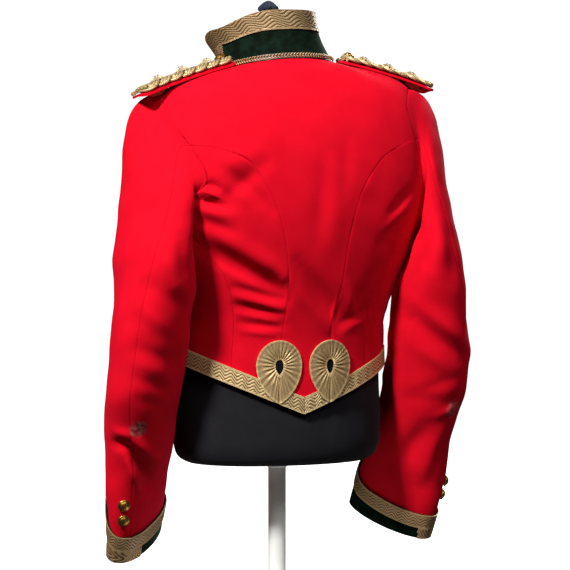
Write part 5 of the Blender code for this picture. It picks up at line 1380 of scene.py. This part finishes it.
def make_knot(cotton):
    """Gathered knot of the form's cover, standing on its neck."""
    profile = np.array([(0.0120, 0.00), (0.0150, 0.03), (0.0165, 0.14), (0.0150, 0.30),
                        (0.0118, 0.44), (0.0112, 0.52), (0.0135, 0.60), (0.0128, 0.70),
                        (0.0092, 0.82), (0.0060, 0.92), (0.0022, 1.00)])
    share = np.linspace(0, 1, 34)
    places = np.linspace(0, 1, len(profile))
    base, height = (np.interp(share, places, column) for column in profile.T)
    turn = full_turn(120)
    pleats = 0.14 * np.cos(5 * turn + 0.4) + 0.07 * np.cos(13 * turn + 2.1 * np.sin(2 * turn))
    waves = 0.05 * np.sin(19 * turn[None, :] + 9 * share[:, None])
    radius = base[:, None] * (1 + pleats[None, :] + waves)
    z = np.broadcast_to((KNOT_BASE + (KNOT_TOP - KNOT_BASE) * height)[:, None], radius.shape)
    rings = np.stack([KNOT_X + radius * np.cos(turn), KNOT_Y + 0.8 * radius * np.sin(turn), z], -1)
    declare(loft("tied_knot", settle(rings), cotton), "form_knot")


# ---------------------------------------------------------------- finishes
def new_finish(name, *grains):
    """Start a material with noises given as (size in mm, detail, roughness).

    Returns the material, its node tree, its coordinates' sockets and its noises.
    """
    made = bpy.data.materials.new(name)
    made.use_nodes = True
    tree = made.node_tree
    tree.nodes.clear()
    coords = add_node(tree, "ShaderNodeTexCoord").outputs
    noises = [add_node(tree, NOISE, {"Vector": coords["Object"], "Scale": MM_PER_METRE / size,
                                     "Detail": detail, "Roughness": roughness})
              for size, detail, roughness in grains]
    return made, tree, coords, noises


def tinted(tree, colour, *layers):
    """Colour with layers laid on in order, each given as (value, low, high, most, colour).

    A layer covers nothing where its value is at low and the share most of it at high.
    """
    for value, low, high, most, tone in layers:
        share = add_node(tree, RAMP, (value, low, high, 0.0, most), **EASED)
        colour = add_node(tree, "ShaderNodeMix", {0: share, 6: colour, 7: tone}, data_type="RGBA")
    return colour


def end_finish(made, colour, bumps, **surface):
    """Principled surface with bumps as (height, depth in metres, strength) in order."""
    tree = made.node_tree
    inputs = {"Base Color": colour}
    inputs.update({key.replace("_", " "): value for key, value in surface.items()})
    for height, depth, strength in bumps:
        relief = {"Height": height, "Distance": depth, "Strength": strength}
        if "Normal" in inputs:
            relief["Normal"] = inputs["Normal"]
        inputs["Normal"] = add_node(tree, "ShaderNodeBump", relief)
    surface = add_node(tree, "ShaderNodeBsdfPrincipled", inputs)
    add_node(tree, "ShaderNodeOutputMaterial", {"Surface": surface})
    return made


def patch_centre(grid, column, height, side):
    """Point of a sleeve at a column and a height above the floor."""
    low = int(column)
    line = grid[:, low] + (grid[:, (low + 1) % grid.shape[1]] - grid[:, low]) * (column - low)
    line = settle(side_points(line, side))
    return tuple(float(np.interp(height, line[::-1, 2], line[::-1, axis])) for axis in range(3))


def doeskin(places):
    """Milled scarlet wool: a short nap, faint cloudy mottling and two places rubbed thin, the left
    one also painted darker as shade.

    The real nap is too fine to show, so it is drawn at 0.9 mm.
    """
    made, tree, coords, (nap, cloud, fluff, tear, streaks) = new_finish(
        "scarlet_doeskin_cloth", (0.9, 4.0, 0.7), (26.0, 3.0, 0.55), (3.5, 3.0, 0.6),
        (9.0, 3.0, 0.6), (6.0, 2.0, 0.5))
    layers = [(cloud, 0.3, 0.7, 1.0, "#d4081f"), (fluff, 0.62, 0.82, 0.15, "#ea2440")]
    ragged = add_node(tree, MATHS, (tear, 0.5), operation="SUBTRACT")
    for centre, reach, edge, heart in places:
        away = add_node(tree, "ShaderNodeVectorMath", (coords["Object"], centre),
                        operation="DISTANCE")
        away = add_node(tree, MATHS, (ragged, 0.7 * reach, away), operation="MULTIPLY_ADD")
        # A patch's colours: rubbed wear, painted darker on the left sleeve as shade
        patch_wear_and_shade = tinted(tree, edge, (streaks, 0.35, 0.70, 1.0, heart))
        layers.append((away, 1.05 * reach, 0.55 * reach, 0.9, patch_wear_and_shade))
    return end_finish(made, tinted(tree, "#cf061d", *layers),
                      [(fluff, 0.0003, 0.35), (nap, 0.00016, 0.55)], Roughness=0.88,
                      Specular_IOR_Level=0.05, Sheen_Weight=0.12, Sheen_Roughness=0.45,
                      Sheen_Tint="#ff3a78")


def velvet():
    """Dark green cotton velvet: near black face on, with a pale green bloom at its edges.

    The real pile is too fine to show, so it is drawn at 0.5 mm.
    """
    made, tree, _, (pile, crushed) = new_finish("dark_green_velvet", (0.5, 3.0, 0.7),
                                                (14.0, 3.0, 0.6))
    colour = tinted(tree, "#07100a", (crushed, 0.35, 0.7, 1.0, "#0f2116"))
    return end_finish(made, colour, [(crushed, 0.0010, 0.3), (pile, 0.0002, 0.6)],
                      Roughness=0.95, Specular_IOR_Level=0.05, Sheen_Weight=0.32,
                      Sheen_Roughness=0.30, Sheen_Tint="#6fa37e")


def woven_lace(name, light, dark, period=0.0165, swing=0.0062, spacing=0.0046,
               width=LACE_WIDTH, tones=(0.25, 1.35)):
    """Gold wire lace: parallel waves raised on a ribbed ground, between two beaded edges.

    tones are the sums of relief and grain at which its colour is dark and light.
    """
    made, tree, coords, (drift, grain, stain) = new_finish(
        name, (16.0, 2.0, 0.5), (0.8, 3.0, 0.7), (11.0, 4.0, 0.6))
    along, across, _ = add_node(tree, "ShaderNodeSeparateXYZ", (coords["UV"],)).outputs
    # Waves: half straight and half eased, a little uneven as the loom left them
    drift = add_node(tree, MATHS, (drift, 0.0035, -0.5 * 0.0035), operation="MULTIPLY_ADD")
    moved = add_node(tree, MATHS, (along, drift), operation="ADD")
    zig = add_node(tree, MATHS, (moved, period / 2), operation="PINGPONG")
    eased = add_node(tree, RAMP, (zig, 0.0, period / 2, 0.0, swing / 2), **EASED)
    wave = add_node(tree, MATHS, (zig, swing / period, eased), operation="MULTIPLY_ADD")
    line = add_node(tree, MATHS, (across, wave), operation="SUBTRACT")
    line = add_node(tree, MATHS, (line, spacing / 2), operation="PINGPONG")
    wave = add_node(tree, RAMP, (line, 0.14 * spacing, 0.30 * spacing), **EASED)
    # Edges: a beaded border inside a groove
    off = add_node(tree, MATHS, (across, width / 2), operation="SUBTRACT")
    off = add_node(tree, MATHS, (off,), operation="ABSOLUTE")
    border = add_node(tree, RAMP, (off, width / 2 - 0.0026, width / 2 - 0.0018), **EASED)
    off = add_node(tree, MATHS, (off, width / 2 - 0.0030), operation="SUBTRACT")
    off = add_node(tree, MATHS, (off,), operation="ABSOLUTE")
    groove = add_node(tree, RAMP, (off, 0.0008, 0.0002, 0.0, 0.6), **EASED)
    inside = add_node(tree, MATHS, (1.0, border), operation="SUBTRACT")
    raised = add_node(tree, MATHS, (wave, inside), operation="MULTIPLY")
    # Beads, threads and weft, each a sine of its own length in metres.  Real threads are too
    # fine to show, so they are drawn about 1 mm apart.
    sines = []
    for way, length in ((along, 0.0032), (along, 0.0009), (across, 0.0011)):
        turns = add_node(tree, MATHS, (way, 2 * math.pi / length), operation="MULTIPLY")
        sines.append(add_node(tree, MATHS, (turns,), operation="SINE"))
    beads, threads, weft = sines
    beads = add_node(tree, MATHS, (beads,), operation="ABSOLUTE")
    weave = add_node(tree, MATHS, (threads, weft), operation="MULTIPLY")
    height = add_node(tree, MATHS, (border, beads, raised), operation="MULTIPLY_ADD")
    height = add_node(tree, MATHS, (height, groove), operation="SUBTRACT")
    fine = add_node(tree, MATHS, (weave, 0.35, grain), operation="MULTIPLY_ADD")
    # Colour follows the relief: painted highlight on the raised waves and beaded edges, painted
    # shade on the ground between them
    tone = add_node(tree, MATHS, (raised, 0.75), operation="MULTIPLY")
    tone = add_node(tree, MATHS, (border, 0.85, tone), operation="MULTIPLY_ADD")
    tone = add_node(tree, MATHS, (grain, 0.7, tone), operation="MULTIPLY_ADD")
    colour = tinted(tree, dark, (tone, *tones, 1.0, light), (stain, 0.52, 0.75, 0.35, "#6d5238"))
    return end_finish(made, colour, [(height, 0.0006, 0.8), (fine, 0.00016, 0.5)],
                      Metallic=0.42, Roughness=0.50, Specular_IOR_Level=0.5)


def gathered_lace():
    """Gold lace gathered round the eyes: close radial threads between paler edges."""
    made, tree, coords, (drift, grain, stain) = new_finish(
        "gathered_gold_lace", (7.0, 2.0, 0.5), (0.7, 3.0, 0.7), (9.0, 3.0, 0.6))
    around, out, _ = add_node(tree, "ShaderNodeSeparateXYZ", (coords["UV"],)).outputs
    turn = add_node(tree, MATHS, (drift, 0.030, around), operation="MULTIPLY_ADD")
    # Real threads are too fine to show, so 96 coarser ones are drawn round an eye
    sines = []
    for count in (96, 34):
        turns = add_node(tree, MATHS, (turn, 2 * math.pi * count), operation="MULTIPLY")
        sines.append(add_node(tree, MATHS, (turns,), operation="SINE"))
    threads, tufts = sines
    rim = add_node(tree, RAMP, (out, 0.90, 0.95), **EASED)
    hole = add_node(tree, RAMP, (out, 0.14, 0.05), **EASED)
    edge = add_node(tree, MATHS, (rim, hole), operation="MAXIMUM")
    tone = add_node(tree, MATHS, (tufts, 0.12, grain), operation="MULTIPLY_ADD")
    tone = add_node(tree, MATHS, (threads, 0.06, tone), operation="MULTIPLY_ADD")
    tone = add_node(tree, MATHS, (edge, 0.45, tone), operation="MULTIPLY_ADD")
    height = add_node(tree, MATHS, (threads, 0.15, grain), operation="MULTIPLY_ADD")
    colour = tinted(tree, "#8c7048", (tone, 0.1, 1.1, 1.0, "#e6c68e"),
                    (stain, 0.5, 0.75, 0.4, "#7a5f3e"))
    return end_finish(made, colour, [(height, 0.0004, 0.7)], Metallic=0.4, Roughness=0.45)


def gold_cord(name, light, dark, metal=0.4):
    """Cord of twisted gold wire: a fine speckle of painted glints and painted shade between them,
    with patches of grey tarnish.

    The real wire is too fine to show, so its painted glints are drawn at 1.4 mm.
    """
    made, tree, _, (wire, tarnish) = new_finish(name, (1.4, 3.0, 0.8), (8.0, 3.0, 0.6))
    # The light speckle is painted glint on the plies; the dark base colour is painted shade between
    # them.
    colour = tinted(tree, dark, (wire, 0.38, 0.60, 1.0, light),
                    (tarnish, 0.5, 0.8, 0.5, "#6f5b40"))
    return end_finish(made, colour, [(wire, 0.0003, 0.8)], Metallic=metal, Roughness=0.42)


def gilt_brass():
    """Gilt brass, worn: warm metal, dulled unevenly, with fine scratches."""
    made, tree, _, (dull, grit) = new_finish("gilt_brass_worn", (3.0, 4.0, 0.6),
                                             (0.5, 2.0, 0.6))
    colour = tinted(tree, "#c79a4a", (dull, 0.35, 0.7, 1.0, "#7d5c2a"))
    rough = add_node(tree, RAMP, (dull, 0.3, 0.7, 0.22, 0.48), **EASED)
    return end_finish(made, colour, [(grit, 0.0001, 0.3)], Metallic=1.0, Roughness=rough)


def embroidered_pip():
    """Rank star worked in gold and silver wire round a dark red felt middle."""
    made, tree, coords, (wire,) = new_finish("embroidered_wire_star", (0.5, 3.0, 0.75))
    out = add_node(tree, "ShaderNodeSeparateXYZ", (coords["UV"],)).outputs[1]
    silver = tinted(tree, "#77736c", (wire, 0.3, 0.7, 1.0, "#cfcac0"))
    colour = tinted(tree, "#8d7449", (wire, 0.3, 0.7, 1.0, "#e0c694"),
                    (out, 0.60, 0.52, 1.0, silver), (out, 0.30, 0.26, 1.0, "#6a1d1a"))
    return end_finish(made, colour, [(wire, 0.0003, 0.8)], Metallic=0.4, Roughness=0.45)


def plain_cloth(name, dark, light, thread_mm, fuzz, sheen):
    """Knitted or felted cloth: an even fine grain, cloudy wear and a little fluff.

    A real thread is too fine to show, so thread_mm is coarser than it.
    """
    made, tree, _, (grain, cloud) = new_finish(name, (thread_mm, 3.0, 0.65), (30.0, 3.0, 0.6))
    share = add_node(tree, MATHS, (cloud, 0.5), operation="MULTIPLY")
    share = add_node(tree, MATHS, (grain, 0.6, share), operation="MULTIPLY_ADD")
    colour = tinted(tree, dark, (share, 0.35, 0.75, 1.0, light))
    return end_finish(made, colour, [(cloud, 0.0008, 0.2), (grain, 0.0002, fuzz)],
                      Roughness=0.92, Specular_IOR_Level=0.15, Sheen_Weight=sheen,
                      Sheen_Roughness=0.4)


def white_enamel():
    """White stoved enamel on steel: glossy, with a faint orange-peel."""
    made, tree, _, (peel, dust) = new_finish("white_stoved_enamel", (2.5, 2.0, 0.5),
                                             (40.0, 3.0, 0.5))
    colour = tinted(tree, "#f1f1ee", (dust, 0.3, 0.8, 1.0, "#e3e2dd"))
    return end_finish(made, colour, [(peel, 0.00006, 0.3)], Roughness=0.3, Coat_Weight=0.2)


def studio_paper():
    """Seamless white paper of the studio, almost without tone."""
    made, tree, _, (fibre,) = new_finish("white_studio_paper", (60.0, 2.0, 0.5))
    colour = tinted(tree, "#fbfbfb", (fibre, 0.3, 0.7, 1.0, "#f6f6f6"))
    return end_finish(made, colour, [(fibre, 0.0005, 0.02)], Roughness=0.95,
                      Emission_Color="#ffffff", Emission_Strength=PAPER_GLOW)


# ---------------------------------------------------------------- studio
def add_area(name, place, target, size, power):
    """Soft square lamp that faces a point."""
    lamp = bpy.data.lights.new(name, "AREA")
    lamp.shape = "SQUARE"
    lamp.size = size
    lamp.energy = power
    made = bpy.data.objects.new(name, lamp)
    made.location = place
    made.rotation_euler = (Vector(target) - Vector(place)).to_track_quat("-Z", "Y").to_euler()
    bpy.context.collection.objects.link(made)


def add_studio(paper):
    """Seamless paper sweep, camera behind the wearer's left shoulder, soft lamps."""
    way = Vector((math.sin(CAMERA_AZIMUTH), -math.cos(CAMERA_AZIMUTH), 0.0))
    right = Vector((-way.y, way.x, 0.0))
    camera = bpy.data.cameras.new("camera")
    camera.lens = CAMERA_LENS
    camera.sensor_width = SENSOR
    camera.shift_x = CAMERA_SHIFT
    holder = bpy.data.objects.new("camera", camera)
    holder.location = way * CAMERA_DISTANCE + Vector((0, 0, CAMERA_HEIGHT))
    holder.rotation_euler = (-way).to_track_quat("-Z", "Y").to_euler()
    bpy.context.collection.objects.link(holder)
    bpy.context.scene.camera = holder

    profile = [(0.4, 0.0), (2.0, 0.0), (ROOM_REACH, 0.0)]
    profile += [(ROOM_REACH + ROOM_COVE * math.sin(a), ROOM_COVE * (1 - math.cos(a)))
                for a in np.linspace(0.1, math.pi / 2, 12)]
    profile += [(5.4, 4.0), (4.6, 5.6), (3.0, 6.6), (0.4, 7.0)]
    turn = full_turn(64)
    rings = np.array([[(reach * math.cos(a), reach * math.sin(a), z - 0.0005) for a in turn]
                      for reach, z in profile])
    room = loft("studio_room", rings, paper)
    room.visible_diffuse = False
    room.visible_glossy = False

    middle = (0.0, 0.0, 0.52)
    for name, ahead, aside, up, size, power in LAMPS:
        spot = way * ahead + right * aside + Vector((0, 0, up))
        add_area(name, spot, middle, size, power)
    world = bpy.data.worlds.new("studio_air")
    world.use_nodes = True
    background = world.node_tree.nodes["Background"]
    background.inputs["Color"].default_value = linear("#ffffff")
    background.inputs["Strength"].default_value = AIR_LIGHT
    bpy.context.scene.world = world
    bpy.context.scene.view_settings.view_transform = "Standard"


def paint_nodes(finish, *names):
    """Give kept CAD nodes their finish."""
    for name in names:
        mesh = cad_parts[name].data
        mesh.materials.clear()
        mesh.materials.append(finish)


# ---------------------------------------------------------------- the whole object
def main():
    """Build every piece of the dressed form and the studio round it."""
    sleeves = {side: sleeve_grid(side) for side in SIDES}
    places = [(patch_centre(sleeves[side][0], column, height, side), reach, edge, heart)
              for side, column, height, reach, edge, heart in WORN_AND_SHADED_PATCHES]
    scarlet = doeskin(places)
    green = velvet()
    hem_gold = woven_lace("gold_wave_lace", "#ecce96", "#84683f")
    collar_gold = woven_lace("gold_collar_lace", "#bfa274", "#5b472c", 0.0360, 0.0070, 0.0040,
                             0.0270, (0.1125, 1.4875))
    # A darker copy of the wave lace for the cuffs
    darker_cuff_gold = woven_lace("gold_cuff_lace", "#c8a471", "#664a2f")
    eye_gold = gathered_lace()
    cord = gold_cord("gold_wire_cord", "#e4c993", "#5f4526")
    braid = gold_cord("gold_chevron_braid", "#d9b482", "#86643f", 0.3)
    # Near-black braid core: painted shade showing between the braid's links
    braid_core_shade = gold_cord("braid_core_painted_shade", "#33261a", "#160f09", 0.1)
    gilt = gilt_brass()
    pip = embroidered_pip()
    cream = plain_cloth("cream_wool_felt", "#b79a6c", "#e6cfa0", 0.9, 0.5, 0.2)
    jersey = plain_cloth("black_cotton_jersey", "#17161a", "#1e1d21", 0.7, 0.35, 0.04)
    cotton = plain_cloth("navy_cotton_tape", "#131722", "#2f3545", 0.8, 0.4, 0.2)
    ground = plain_cloth("black_wool_ground", "#050506", "#0c0b0d", 0.9, 0.4, 0.0)
    make_back(scarlet)
    for side in SIDES:
        make_side_body(side, scarlet)
        make_front(side, scarlet)
        grid, normals = sleeves[side]
        make_sleeves(side, grid, normals, scarlet)
        make_cuff(side, grid, normals, green, darker_cuff_gold)
        make_cuff_buttons(side, grid, normals, gilt)
        make_hem_lace(side, hem_gold)
        make_front_lace(side, hem_gold)
        make_eye(side, eye_gold, ground)
        make_board(side, scarlet, cord)
        make_shoulder_trims(side, grid, gilt, pip, cream)
    make_collar(green, collar_gold)
    make_braid(braid, braid_core_shade)
    make_form(jersey)
    make_knot(cotton)
    paint_nodes(white_enamel(), "stand_base", "stand_pole")
    add_studio(studio_paper())


main()
